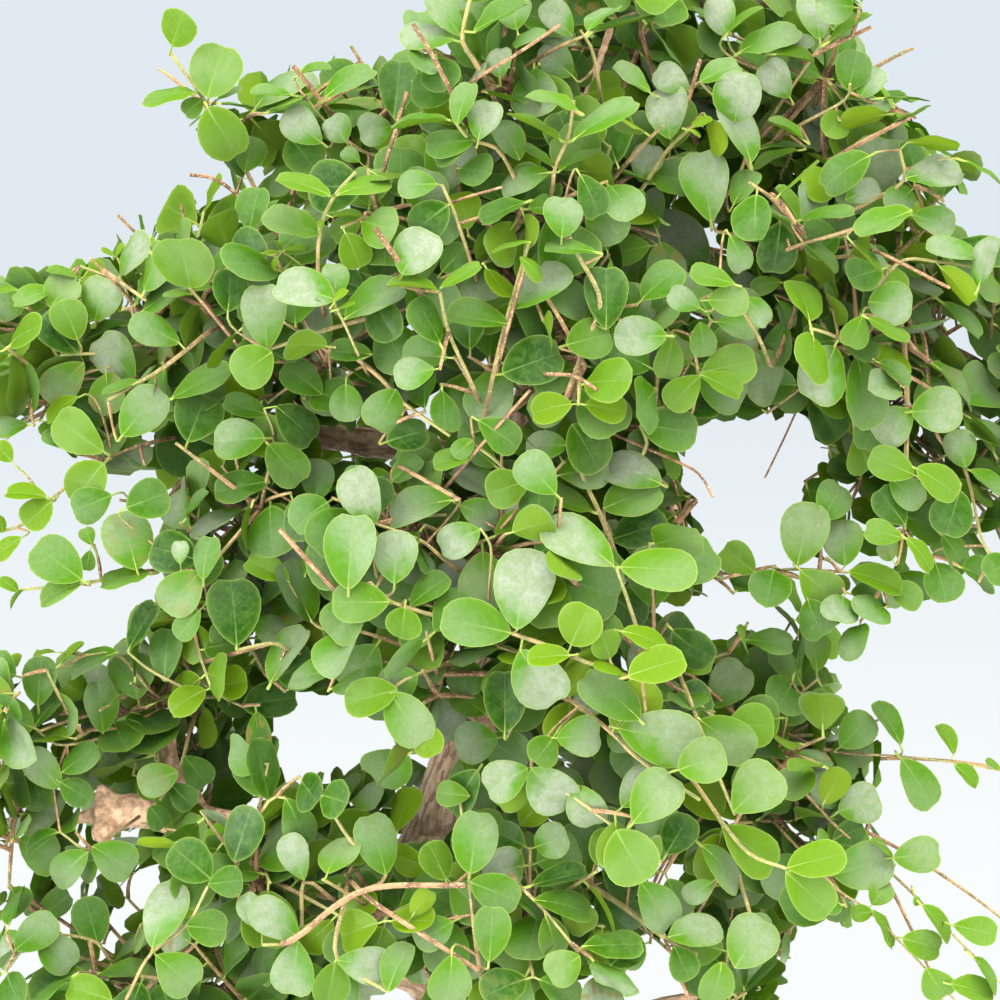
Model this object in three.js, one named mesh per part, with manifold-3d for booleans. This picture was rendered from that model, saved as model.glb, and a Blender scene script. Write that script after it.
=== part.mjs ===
// A privet bonsai: an S-curved trunk with its limbs, leafy sprays on the limbs, the soil that it
// stands in and a plain rectangular tray with feet and drain holes.
// Millimetres, +Z up, the front of the tree towards -Y. The tray stands on z = 0.

import * as THREE from "three";
import { mergeVertices } from "three/addons/utils/BufferGeometryUtils.js";
import Module from "manifold-3d";

const wasm = await Module();
wasm.setup();

// Driving dimensions
const trayLength = 236;
const trayWidth = 176;
const trayHeight = 70;
const trayWall = 7;
const leafLength = 20; // a full-grown leaf with its stalk
const leafWidth = 15.5; // at its widest, two thirds of the way out
const leafThickness = 0.7;
const leafSizes = [0.84, 1.12]; // the smallest and largest, as shares of a full-grown leaf
const shootRadii = [1.5, 0.9]; // of a leafy stem, at its foot and tip
const seatGap = 0.3; // between pieces that touch

const V = (x, y, z) => new THREE.Vector3(x, y, z);

// Materials
const material = (color, roughness) => new THREE.MeshStandardMaterial({ color, roughness, metalness: 0 });
const bark = material(0x8a6f56, 0.85);
const foliage = material(0x5d9440, 0.5);
const clay = material(0x6e4a3a, 0.8);
const earth = material(0x4b3a2c, 1);
const plastic = material(0x2b2f2c, 0.7);

// Solids

function solidFrom(positions, triangles) {
  const geometry = new THREE.BufferGeometry();
  geometry.setAttribute("position", new THREE.Float32BufferAttribute(positions, 3));
  geometry.setIndex(triangles);
  return solidOf(geometry);
}

function solidOf(geometry) {
  const bare = geometry.clone();
  bare.deleteAttribute("normal");
  bare.deleteAttribute("uv");
  const merged = mergeVertices(bare, 1e-4);
  return new wasm.Manifold(
    new wasm.Mesh({
      numProp: 3,
      vertProperties: new Float32Array(merged.attributes.position.array),
      triVerts: new Uint32Array(merged.index.array),
    }),
  );
}

function meshOf(name, solid, look) {
  const found = solid.getMesh();
  const geometry = new THREE.BufferGeometry();
  geometry.setAttribute("position", new THREE.BufferAttribute(found.vertProperties.slice(), 3));
  geometry.setIndex(new THREE.BufferAttribute(found.triVerts.slice(), 1));
  geometry.computeVertexNormals();
  const mesh = new THREE.Mesh(geometry, look);
  mesh.name = name;
  return mesh;
}

// A solid from the triangles of its skin
const skinSolid = (skin) =>
  solidOf(
    new THREE.BufferGeometry().setAttribute(
      "position",
      new THREE.Float32BufferAttribute(skin.flat().flatMap((p) => [p.x, p.y, p.z]), 3),
    ),
  );

// Rings of points with flat ends, joined into one closed skin. Every ring runs the same way round.
function loft(rings) {
  const count = rings[0].length;
  const positions = rings.flat().flatMap((p) => [p.x, p.y, p.z]);
  const triangles = [];
  for (let r = 0; r + 1 < rings.length; r++)
    for (let k = 0; k < count; k++) {
      const a = r * count + k;
      const b = r * count + ((k + 1) % count);
      triangles.push(a, b, b + count, a, b + count, a + count);
    }
  const last = (rings.length - 1) * count;
  for (let k = 1; k + 1 < count; k++) {
    triangles.push(0, k + 1, k);
    triangles.push(last, last + k, last + k + 1);
  }
  return solidFrom(positions, triangles);
}

// A tapering stem along a curve. Its radius is given for every step, from the first to the last.
function stem(curve, radii, sides) {
  const steps = radii.length - 1;
  const frames = curve.computeFrenetFrames(steps, false);
  const rings = radii.map((radius, s) => {
    const centre = curve.getPointAt(s / steps);
    return Array.from({ length: sides }, (_, k) => {
      const turn = (2 * Math.PI * k) / sides;
      return centre
        .clone()
        .addScaledVector(frames.normals[s], radius * Math.cos(turn))
        .addScaledVector(frames.binormals[s], radius * Math.sin(turn));
    });
  });
  const solid = loft(rings);
  return solid.volume() < 0 ? loft(rings.map((ring) => ring.toReversed())) : solid;
}

// A repeatable number from 0 to 1 for each whole number
function chance(n) {
  let t = Math.imul(n ^ (n >>> 15), 0x2c1b3c6d);
  t = Math.imul(t ^ (t >>> 12), 0x297a2d39);
  return ((t ^ (t >>> 15)) >>> 0) / 2 ** 32;
}

const between = (low, high, n) => low + (high - low) * chance(n);

// The trunk and its limbs: points up the middle of each, and its radius at the first and last

const trunkLine = [
  V(2, 4, 60), V(2, 4, 76), V(5, 5, 92), V(13, 8, 110), V(14, 10, 130), V(2, 10, 150), V(-16, 10, 168),
  V(-28, 9, 191), V(-22, 9, 213), V(-17, 9, 231), V(-9, 10, 252), V(-2, 10, 271), V(7, 9, 298),
  V(9, 7, 324), V(9, 6, 345), V(14, 6, 368), V(24, 8, 392), V(32, 8, 416), V(36, 6, 440), V(38, 4, 456),
];
const trunkRadii = [
  17, 21, 16.5, 14.5, 13.5, 12.6, 11.8, 10.8, 9.8, 8.9, 8.2, 7.7, 7.3, 7, 6.6, 6, 5.2, 4.4, 3.5, 2.6,
];

const limbs = {
  left_high: [6.2, 2.2, V(4, 8, 318), V(-10, 4, 329), V(-21, 2, 337), V(-47, 0, 341), V(-64, 0, 344),
    V(-92, 2, 352), V(-122, 4, 361)],
  left_back: [3, 1.5, V(-48, 0, 341), V(-70, 34, 354), V(-86, 62, 360)],
  right_high: [5, 2, V(12, 6, 358), V(34, 2, 368), V(62, -4, 370), V(92, -6, 362), V(122, -6, 364)],
  right_back: [2.8, 1.5, V(40, 0, 369), V(66, 36, 374), V(92, 62, 378)],
  left_low: [6, 2.4, V(-26, 8, 194), V(-48, 0, 205), V(-74, -6, 214), V(-92, -8, 220), V(-95, -8, 229),
    V(-101, -7, 237), V(-106, -5, 252)],
  left_stump: [5, 5.4, V(-90, -8, 219), V(-104, -9, 224), V(-114, -10, 226), V(-125, -11, 226)],
  left_low_tip: [2.6, 1.6, V(-118, -10, 226), V(-136, -12, 223), V(-148, -11, 222)],
  left_low_back: [3, 1.6, V(-74, -6, 214), V(-84, 22, 222), V(-92, 44, 228)],
  right_low: [4.8, 1.7, V(-10, 9, 250), V(16, -4, 254), V(44, -12, 250), V(72, -14, 240), V(98, -12, 226)],
  right_low_back: [2.8, 1.5, V(26, -7, 253), V(54, 26, 248), V(72, 50, 250)],
  front_low: [4, 1.8, V(-23, 6, 208), V(-14, -24, 207), V(6, -46, 198)],
  left_base: [4.5, 2, V(-16, 10, 168), V(-50, 0, 176), V(-88, -6, 178)],
  right_base: [4.5, 2, V(8, 9, 144), V(36, -2, 160), V(68, -8, 170)],
  back_low: [4, 1.8, V(-24, 12, 200), V(-14, 44, 208), V(4, 74, 212)],
  back_mid: [4, 1.8, V(3, 10, 284), V(8, 46, 296), V(-2, 78, 304)],
  front_mid: [3.6, 1.7, V(4, 7, 288), V(-4, -30, 300), V(-10, -58, 300)],
  left_mid: [3.8, 1.7, V(7, 9, 300), V(-36, -8, 302), V(-76, -14, 306)],
  right_mid: [3.8, 1.9, V(9, 7, 326), V(34, 0, 328), V(58, -6, 320)],
  back_top: [3.6, 1.6, V(15, 8, 370), V(22, 44, 384), V(16, 78, 392)],
  front_top: [3.5, 1.6, V(13, 5, 366), V(8, -32, 380), V(0, -62, 388)],
  left_top: [3.3, 1.5, V(25, 8, 395), V(-4, 4, 414), V(-42, 0, 424), V(-78, -2, 430)],
  right_top: [3.2, 1.4, V(32, 8, 416), V(62, 4, 430), V(98, 0, 440)],
};

const trunkAxis = V(5, 5, 0); // the crown is about even round this upright line

// Surface roots: the way each runs from the foot of the trunk, in degrees, and how far
const roots = [[12, 46], [70, 38], [128, 44], [190, 50], [238, 40], [300, 48]];
const rootStart = V(2, 4, 84);
const rootBury = 8; // how far out from the trunk's middle a root's own middle starts
const rootHeights = [77, 62]; // halfway out, and where it has dipped into the soil
const rootRadii = [8, 5.5, 4, 2.6, 1.6];
const rootSides = 5;

// Twigs cut back to the wood, which stay bare: the radius at each end, then the points
const cutTwigs = [
  [2.8, 1.3, V(12, 2, 372), V(9, -26, 408), V(21, -30, 430), V(34, -33, 466)],
  [2.2, 1.8, V(26, 6, 398), V(23, -14, 474)],
  [1.9, 1.5, V(62, 2, 430), V(49, -10, 478)],
  [2.1, 1.7, V(72, 4, 434), V(113, -14, 452)],
  [3, 2, V(92, -6, 362), V(88, -12, 349)],
  [3.4, 2.8, V(46, -1, 325), V(53, -12, 315)],
  [2, 2.2, V(-92, -8, 226), V(-76, -22, 224)],
  [1.8, 1.3, V(-101, -7, 238), V(-102, -13, 258)],
  [1.9, 1.5, V(-134, -12, 223), V(-150, -20, 260)],
  [2.2, 1.9, V(-23, 4, 206), V(-12, -30, 201)],
];

// The sprays: the limb that each grows on, how far along it, and where each of its leafy stems ends
const sprays = [
  ["apex_crown", "trunk", 0.97, V(0, 2, 480), V(40, 46, 472)],
  ["apex_front", "trunk", 0.93, V(80, -4, 476), V(42, -46, 468)],
  ["right_top", "right_top", 0.9, V(128, -8, 462), V(96, -50, 446)],
  ["right_top_back", "right_top", 0.7, V(104, 52, 444), V(64, 82, 440)],
  ["right_high_tip", "right_high", 1, V(158, -4, 402), V(158, -14, 358)],
  ["right_high_front", "right_high", 0.75, V(128, -48, 404), V(86, -78, 400)],
  ["right_high_under", "right_high", 0.62, V(106, -58, 364)],
  ["right_high_back", "right_back", 0.9, V(134, 66, 402), V(86, 88, 402)],
  ["right_hanging", "right_high", 0.92, V(124, -24, 312), V(156, -12, 310)],
  ["front_top", "front_top", 0.95, V(6, -90, 404), V(-38, -80, 404)],
  ["front_top_high", "front_top", 0.55, V(46, -84, 428), V(0, -58, 450)],
  ["front_top_low", "front_top", 0.8, V(24, -84, 360)],
  ["back_top", "back_top", 0.9, V(18, 106, 406), V(-32, 86, 434)],
  ["left_top_tip", "left_top", 1, V(-106, -6, 456), V(-70, -48, 436)],
  ["left_top_crest", "left_top", 0.5, V(-46, -12, 462), V(-66, 46, 438)],
  ["left_high_tip", "left_high", 1, V(-160, -2, 384), V(-140, -24, 346)],
  ["left_high_front", "left_high", 0.78, V(-122, -42, 394), V(-82, -64, 388)],
  ["left_high_inner", "left_high", 0.55, V(-48, -74, 364)],
  ["left_high_back", "left_back", 0.9, V(-118, 70, 386), V(-66, 82, 406)],
  ["left_mid", "left_mid", 0.92, V(-116, -22, 322), V(-72, -58, 322)],
  ["left_mid_low", "left_mid", 0.75, V(-92, -36, 286)],
  ["front_mid", "front_mid", 0.92, V(-36, -86, 316), V(18, -92, 302)],
  ["front_mid_low", "front_mid", 0.7, V(-18, -76, 266)],
  ["right_mid", "right_mid", 0.85, V(58, -48, 322), V(44, -70, 344)],
  ["right_mid_low", "right_low", 0.35, V(44, -68, 272)],
  ["back_mid", "back_mid", 0.92, V(-46, 92, 314), V(44, 94, 308)],
  ["left_low_top", "left_low", 1, V(-98, -14, 276), V(-128, -34, 250)],
  ["left_low_tip", "left_low_tip", 0.95, V(-160, -16, 246), V(-150, -20, 204)],
  ["left_low_front", "left_low", 0.42, V(-72, -54, 208)],
  ["left_low_back", "left_low_back", 0.9, V(-108, 58, 240)],
  ["right_low_front", "right_low", 0.65, V(86, -50, 246), V(98, -34, 206)],
  ["right_low_tip", "right_low", 0.88, V(120, -14, 256), V(164, -22, 238)],
  ["right_low_trail", "right_low", 1, V(156, -30, 192), V(136, -36, 164)],
  ["right_low_back", "right_low_back", 0.9, V(88, 64, 250)],
  ["front_low", "front_low", 0.92, V(12, -78, 198), V(-34, -68, 202)],
  ["left_base", "left_base", 0.95, V(-116, -14, 172), V(-70, -44, 166)],
  ["right_base", "right_base", 0.95, V(62, -40, 168), V(90, 24, 176)],
  ["back_low", "back_low", 0.9, V(2, 98, 214), V(-60, 60, 196)],
];

const curveOf = (points) => new THREE.CatmullRomCurve3(points, false, "catmullrom", 0.5);
const limbCurve = (name) => (name === "trunk" ? curveOf(trunkLine) : curveOf(limbs[name].slice(2)));

// Radii from the first to the last of a number of steps
const taper = (first, last, steps) =>
  Array.from({ length: steps + 1 }, (_, s) => THREE.MathUtils.lerp(first, last, s / steps));

// The trunk's rings sit at its own points, so its radii go with them. extra makes it all thicker.
function wood(extra) {
  const trunkSides = 9;
  const limbSides = 5;
  const twigSides = 4;
  const thicker = (radii) => radii.map((radius) => radius + extra);
  const trunkCurve = curveOf(trunkLine);
  const lengths = trunkLine.map((_, k) => k / (trunkLine.length - 1));
  const rings = lengths.map((t, k) => ringAcross(trunkCurve, t, trunkRadii[k] + extra, trunkSides));
  let solid = loft(rings);
  for (const [first, last, ...points] of Object.values(limbs)) {
    const curve = curveOf(points);
    solid = solid.add(stem(curve, thicker(taper(first, last, points.length + 1)), limbSides));
  }
  for (const [first, last, ...points] of cutTwigs)
    solid = solid.add(stem(curveOf(points), thicker(taper(first, last, points.length - 1)), twigSides));
  for (const [heading, reach] of roots) solid = solid.add(root(heading, reach, extra));
  return solid;
}

// A ring of points square across a curve, its first point towards +X
function ringAcross(curve, t, radius, sides) {
  const along = curve.getTangent(t);
  const side = V(1, 0, 0).addScaledVector(along, -along.x).normalize();
  const back = along.clone().cross(side);
  return Array.from({ length: sides }, (_, k) => {
    const turn = (2 * Math.PI * k) / sides;
    return curve
      .getPoint(t)
      .addScaledVector(side, radius * Math.cos(turn))
      .addScaledVector(back, radius * Math.sin(turn));
  });
}

// A root leaves the trunk's foot, runs over the soil and dips into it.
function root(heading, reach, extra) {
  const turn = THREE.MathUtils.degToRad(heading);
  const point = (out, z) => V(rootStart.x + out * Math.cos(turn), rootStart.y + out * Math.sin(turn), z);
  const [halfway, end] = rootHeights;
  const line = curveOf([point(rootBury, rootStart.z), point(reach * 0.5, halfway), point(reach, end)]);
  return stem(line, rootRadii.map((radius) => radius + extra), rootSides);
}

// Leaves and sprays

// Half of a blade's outline, from its stalk to its blunt tip, as shares of its length and width
const halfBlade = [[0.34, 0.39], [0.68, 0.5], [0.96, 0.21]];
const tipFrom = 0.9; // its points further out than this share are on the tip
const bladeCup = 0.16; // how far the edges turn up from the rib, as a share of the width
const bladeArch = 0.1; // how far the tip bends down, as a share of the length

// The edge of an obovate blade, cupped and arched, out along one side, round the tip and back along
// the other, on the upper face (level 1) or the under face (level -1). room widens it all round.
function bladeEdge({ base, out, face, size }, level, room) {
  const across = face.clone().cross(out);
  const length = leafLength * size;
  const width = leafWidth * size;
  const edge = [...halfBlade.map(([along, side]) => [along, -side]), ...halfBlade.toReversed()];
  return edge.map(([along, side]) => {
    const rise = bladeCup * width * Math.abs(side) - bladeArch * length * along ** 2;
    return base
      .clone()
      .addScaledVector(out, along * length + (along > tipFrom ? room : 0))
      .addScaledVector(across, side * width + Math.sign(side) * room)
      .addScaledVector(face, rise + level * (leafThickness / 2 + room));
  });
}

// The triangles of a blade's face, over its two points at the stalk and then its six edge points
const bladeFace = [[1, 2, 3], [1, 3, 4], [0, 1, 4], [0, 4, 5], [0, 5, 6], [0, 6, 7]];

// The skin of a blade, open at its stalk, where it joins on to two upper and two under points
function bladeSkin(stalk, leaf, room) {
  const upper = [...stalk.upper, ...bladeEdge(leaf, 1, room)];
  const under = [...stalk.under, ...bladeEdge(leaf, -1, room)];
  const skin = bladeFace.flatMap(([a, b, c]) => [
    [upper[a], upper[b], upper[c]],
    [under[a], under[c], under[b]],
  ]);
  for (let k = 1; k < upper.length; k++) {
    const next = (k + 1) % upper.length;
    skin.push([upper[k], under[k], under[next]], [upper[k], under[next], upper[next]]);
  }
  return skin;
}

// The blade alone, closed a little way out from its stem
const closedAt = 3; // so far out
const closedHalf = 0.6; // half its width there
function bladeAlone(leaf, room) {
  const across = leaf.face.clone().cross(leaf.out);
  const point = (aside, level) =>
    leaf.base
      .clone()
      .addScaledVector(leaf.out, closedAt)
      .addScaledVector(across, closedHalf * aside)
      .addScaledVector(leaf.face, level * (leafThickness / 2 + room));
  const upper = [point(1, 1), point(-1, 1)];
  const under = [point(1, -1), point(-1, -1)];
  const cap = [[upper[0], under[0], under[1]], [upper[0], under[1], upper[1]]];
  return skinSolid([...bladeSkin({ upper, under }, leaf, room), ...cap]);
}

const boxesApart = (a, b) => [0, 1, 2].some((k) => a.min[k] > b.max[k] || b.min[k] > a.max[k]);

// Everything that has its place already, as small solids with their boxes
const placed = [];
const place = (solid, owner) => placed.push({ solid, owner, box: solid.boundingBox() });
function isClear(room, owner) {
  const box = room.boundingBox();
  return placed.every(
    (other) => other.owner === owner || boxesApart(box, other.box) || other.solid.intersect(room).isEmpty(),
  );
}

// The way leaves at this point turn their faces: out from the middle of the tree and up to the light
const facingOut = 0.75;
const facingUp = 0.62;
function lightAt(point) {
  const outward = V(point.x - trunkAxis.x, point.y - trunkAxis.y, 0).normalize();
  return outward.multiplyScalar(facingOut).add(V(0, 0, facingUp)).normalize();
}

// The line of one leafy stem. It bends aside until it is clear of what has its place. A stem starts
// inside its limb, so only its outer part is tried.
const mostBends = 12;
const bendStep = 0.07; // each bend is this much further aside, as a share of the stem's reach
const bendTurn = 2.4; // and this far round the stem from the one before, in radians
const stemBow = 0.1; // how far a stem bows up, as a share of its reach
const outerFrom = 0.3;
const outerMiddle = 0.63;
const triedSteps = 6;
const triedSides = 4;
function leafyLine(spray, from, to) {
  const reach = from.distanceTo(to);
  const radii = taper(...shootRadii, triedSteps).map((radius) => radius + seatGap);
  for (let attempt = 0; ; attempt++) {
    const aside = bendStep * reach * attempt;
    const turn = bendTurn * attempt;
    const bow = V(aside * Math.cos(turn), aside * Math.sin(turn), stemBow * reach);
    const curve = new THREE.QuadraticBezierCurve3(from, from.clone().lerp(to, 0.5).add(bow), to);
    const [start, control] = [curve.getPoint(outerFrom), curve.getPoint(outerMiddle)];
    const outer = new THREE.QuadraticBezierCurve3(start, control, to);
    if (attempt < mostBends && !isClear(stem(outer, radii, triedSides), spray)) continue;
    place(stem(curve, radii, triedSides), spray);
    return { curve, reach };
  }
}

// A leaf turned until its blade is clear of what has its place, or nothing where none is
const raises = [0.1, 0.35, -0.2, 0.6, -0.45, 0.85, -0.7, 1.1]; // towards the light, in the order tried
const splays = [0.3, 0.45, 0.1]; // towards the stem's tip, in radians
function leafOn(base, along, up, sideways, n) {
  const size = between(...leafSizes, n);
  for (const raise of raises)
    for (const splay of splays) {
      const out = sideways
        .clone()
        .multiplyScalar(Math.cos(splay))
        .addScaledVector(along, Math.sin(splay))
        .addScaledVector(up, raise)
        .normalize();
      const leaf = { base, out, size, face: up.clone().addScaledVector(out, -up.dot(out)).normalize() };
      if (!isClear(bladeAlone(leaf, seatGap), "")) continue;
      place(bladeAlone(leaf, 0), "leaf");
      return leaf;
    }
  return null;
}

// The pairs of leaves on a stem, from its foot to its tip, set crosswise by turns
const mostPairs = 3;
const pairGap = 13.5;
const leafyShare = 0.75; // of a stem's reach, from its tip
const halfStalk = 1; // half the width of a leaf's stalk, along the stem
const crosswise = [-0.3, 0.4]; // how far round the stem one pair and the next are turned, in radians
const pairStray = 0.15;
function pairsOn({ curve, reach }, seed) {
  const pairs = [];
  const count = Math.min(mostPairs, 1 + Math.floor((leafyShare * reach - halfStalk) / pairGap));
  let upright = lightAt(curve.getPointAt(0.5));
  for (let k = count - 1; k >= 0; k--) {
    const t = 1 - (halfStalk + k * pairGap) / reach;
    const base = curve.getPointAt(t);
    const along = curve.getTangentAt(t);
    const n = seed + 50 * k;
    upright = upright.clone().addScaledVector(along, -upright.dot(along)).normalize();
    const up = upright.clone().applyAxisAngle(along, crosswise[k % 2] + between(-pairStray, pairStray, n));
    const side = along.clone().cross(up);
    const left = leafOn(base, along, up, side, n + 20);
    const right = leafOn(base, along, up, side.clone().negate(), n + 30);
    pairs.push({ t, base, along, up, side, left, right });
  }
  return pairs;
}

// A three-sided stem with its ridge up. Each pair of leaves grows out of its two upper sides.
const stemSection = [[1, 0], [-0.5, 0.87], [-0.5, -0.87]]; // up and aside, in radii: the ridge first
function leafyStem(stemLine, pairs) {
  const radiusAt = (t) => THREE.MathUtils.lerp(...shootRadii, t);
  const ring = ({ up, side }, centre, radius) =>
    stemSection.map(([u, s]) =>
      centre.clone().addScaledVector(up, u * radius).addScaledVector(side, s * radius));
  const rings = [ring(pairs[0], stemLine.curve.getPoint(0), shootRadii[0])];
  const skin = [];
  for (const pair of pairs)
    for (const way of [-1, 1]) {
      const centre = pair.base.clone().addScaledVector(pair.along, way * halfStalk);
      rings.push(ring(pair, centre, radiusAt(pair.t)));
    }
  for (let r = 0; r + 1 < rings.length; r++) {
    const [rear, front] = [rings[r], rings[r + 1]];
    const pair = r % 2 ? pairs[(r - 1) / 2] : {};
    const [top, leftFoot, rightFoot] = [0, 1, 2];
    if (pair.left) {
      const stalk = { upper: [front[top], rear[top]], under: [front[leftFoot], rear[leftFoot]] };
      skin.push(...bladeSkin(stalk, pair.left, 0));
    } else skin.push(...quad(rear[top], rear[leftFoot], front[leftFoot], front[top]));
    if (pair.right) {
      const stalk = { upper: [rear[top], front[top]], under: [rear[rightFoot], front[rightFoot]] };
      skin.push(...bladeSkin(stalk, pair.right, 0));
    } else skin.push(...quad(rear[rightFoot], rear[top], front[top], front[rightFoot]));
    skin.push(...quad(rear[leftFoot], rear[rightFoot], front[rightFoot], front[leftFoot]));
  }
  skin.push(rings[0].toReversed(), rings.at(-1));
  return skinSolid(skin);
}

const quad = (a, b, c, d) => [[a, b, c], [a, c, d]];

// The stems of one spray: the first leaves the limb and the others fork from it.
const forkAt = 0.22; // so far along the first
function spray([name, limb, at, ...tips]) {
  const first = leafyLine(name, limbCurve(limb).getPointAt(at), tips[0]);
  const fork = first.curve.getPointAt(forkAt);
  return { name, lines: [first, ...tips.slice(1).map((tip) => leafyLine(name, fork, tip))] };
}

// The largest body of a solid, without the scraps that a cut leaves
const mainBody = (solid) => solid.decompose().toSorted((a, b) => b.volume() - a.volume())[0];

// The tray

// A rectangle with round corners, level at a height
function roundedRing(length, width, corner, z, perCorner = 4) {
  const ring = [];
  [[1, -1, -90], [1, 1, 0], [-1, 1, 90], [-1, -1, 180]].forEach(([sx, sy, start]) => {
    for (let k = 0; k < perCorner; k++) {
      const turn = THREE.MathUtils.degToRad(start + (90 * k) / (perCorner - 1));
      ring.push(
        V(
          sx * (length / 2 - corner) + corner * Math.cos(turn),
          sy * (width / 2 - corner) + corner * Math.sin(turn),
          z,
        ),
      );
    }
  });
  return ring;
}

const footHeight = 9;
const floorTop = 17; // the tray's inside floor
const lipHeight = 9;
const lipOut = 4;
const slope = 12; // the walls lean out by this from foot to rim, on each side
const drainRadius = 8;
const drainSides = 12;
const drainCut = 20; // the height that a drain is cut through
const drainAt = 52; // each side of the middle
const footCorner = 12; // the tray's corner radii: outside at its foot and under the lip
const bodyCorner = 16;
const lipCorner = 18;
const insideCorners = [8, 11]; // at its floor and rim
const lipBevels = [0.6, 0, 1]; // how far the lip is drawn in at its bottom, near its top and on top
const bevelHeight = 2;
const through = 1; // how far a cut runs past the surface that it opens

// How far a wall has leaned in from the rim, at a height
const leanIn = (z) => slope * (1 - (z - footHeight) / (trayHeight - footHeight));

function tray() {
  const ring = (z, inset, corner) =>
    roundedRing(trayLength - 2 * (inset + leanIn(z)), trayWidth - 2 * (inset + leanIn(z)), corner, z);
  const lipBottom = trayHeight - lipHeight;
  const body = loft([
    ring(footHeight, lipOut, footCorner),
    ring(lipBottom, lipOut, bodyCorner),
    ring(trayHeight, lipOut, bodyCorner),
  ]);
  const lip = loft([
    ring(lipBottom, lipBevels[0], lipCorner),
    ring(trayHeight - bevelHeight, lipBevels[1], lipCorner),
    ring(trayHeight, lipBevels[2], lipCorner),
  ]);
  const inside = loft([
    ring(floorTop, lipOut + trayWall, insideCorners[0]),
    ring(trayHeight + through, lipOut + trayWall, insideCorners[1]),
  ]);
  let solid = body.add(lip);
  for (const sx of [1, -1])
    for (const sy of [1, -1]) {
      const foot = loft([footRing(sx, sy, 0, footDraft), footRing(sx, sy, footHeight + footSunk, 0)]);
      solid = solid.add(foot);
    }
  solid = solid.subtract(inside);
  for (const sx of [1, -1]) solid = solid.subtract(drain(sx));
  return solid;
}

// One foot, drawn in a little at its base
const footLength = 40;
const footWidth = 26;
const footEdge = 3; // in from the tray's own foot
const footRadius = 5;
const footDraft = 2;
const footSunk = 2; // into the tray's base
function footRing(sx, sy, z, inset) {
  const x = sx * (trayLength / 2 - lipOut - slope - footLength / 2 - footEdge);
  const y = sy * (trayWidth / 2 - lipOut - slope - footWidth / 2 - footEdge);
  const ring = roundedRing(footLength - 2 * inset, footWidth - 2 * inset, footRadius, z, 2);
  return ring.map((p) => p.add(V(x, y, 0)));
}

// A drain hole, cut evenly above and below the tray's base
function drain(sx) {
  const hole = new THREE.CylinderGeometry(drainRadius, drainRadius, drainCut, drainSides);
  hole.rotateX(Math.PI / 2);
  hole.translate(sx * drainAt, 0, footHeight);
  return solidOf(hole);
}

// A square of plastic mesh over each drain hole keeps the soil in.
const meshSide = 27;
const meshThickness = 1.2;
const meshHoles = 3; // along each side
const meshBar = 3; // the width of a bar between two holes
function drainMesh(sx) {
  const centre = V(sx * drainAt, 0, floorTop + seatGap + meshThickness / 2);
  const box = (wide, deep, high, at) => {
    const block = new THREE.BoxGeometry(wide, deep, high);
    block.translate(at.x, at.y, at.z);
    return solidOf(block);
  };
  let solid = box(meshSide, meshSide, meshThickness, centre);
  const pitch = meshSide / meshHoles;
  for (let i = 0; i < meshHoles; i++)
    for (let j = 0; j < meshHoles; j++) {
      const at = centre.clone().add(V((i - 1) * pitch, (j - 1) * pitch, 0));
      solid = solid.subtract(box(pitch - meshBar, pitch - meshBar, meshThickness + 2 * through, at));
    }
  return solid;
}

// The soil

const soilEdge = 64; // the soil's height at the tray's wall
const soilMiddle = 76;
const domeShares = [0, 0.3, 0.6, 0.85]; // its rings, from the wall towards the middle
const domeCorners = [11.5, 0.5]; // at the wall and in the middle

function soil(treeWithGap) {
  const inner = (z) => {
    const inset = 2 * (lipOut + trayWall + leanIn(z) + seatGap);
    return [trayLength - inset, trayWidth - inset];
  };
  const dome = domeShares.map((share) => {
    const [length, width] = inner(soilEdge);
    const z = soilEdge + (soilMiddle - soilEdge) * Math.sin((share * Math.PI) / 2);
    const corner = THREE.MathUtils.lerp(...domeCorners, share);
    return roundedRing(length * (1 - share), width * (1 - share), corner, z);
  });
  const [length, width] = inner(floorTop + seatGap);
  const bottom = roundedRing(length, width, insideCorners[0] - seatGap, floorTop + seatGap);
  let solid = loft([bottom, ...dome]);
  for (const sx of [1, -1]) {
    const side = meshSide + 2 * seatGap;
    const recess = new THREE.BoxGeometry(side, side, 2 * (meshThickness + 2 * seatGap));
    recess.translate(sx * drainAt, 0, floorTop + seatGap);
    solid = solid.subtract(solidOf(recess));
  }
  return solid.subtract(treeWithGap);
}

// The whole bonsai

const tree = wood(0);
const treeWithGap = wood(seatGap);
place(tree, "tree");
const grown = sprays.map(spray);

const bonsai = new THREE.Group();
bonsai.add(meshOf("tray", tray(), clay));
bonsai.add(meshOf("drain_mesh_left", drainMesh(-1), plastic));
bonsai.add(meshOf("drain_mesh_right", drainMesh(1), plastic));
bonsai.add(meshOf("soil", soil(treeWithGap), earth));
bonsai.add(meshOf("trunk_and_limbs", tree, bark));
grown.forEach(({ name, lines }, number) => {
  const seed = 1000 * number;
  const stems = lines.map((line, k) => leafyStem(line, pairsOn(line, seed + 300 * k)));
  const solid = stems.reduce((all, one) => all.add(one)).subtract(treeWithGap);
  bonsai.add(meshOf(`spray_${name}`, mainBody(solid), foliage));
});

// The crown reaches further to one side than to the other, so the tray stands a little off the
// middle: the origin is under the middle of the whole.
const middle = new THREE.Box3().setFromObject(bonsai).getCenter(V(0, 0, 0));
bonsai.position.set(-middle.x, -middle.y, 0);

export default bonsai;
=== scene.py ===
import math
import random

import bpy
import numpy as np
from mathutils import Matrix, Vector, kdtree, noise


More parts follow.
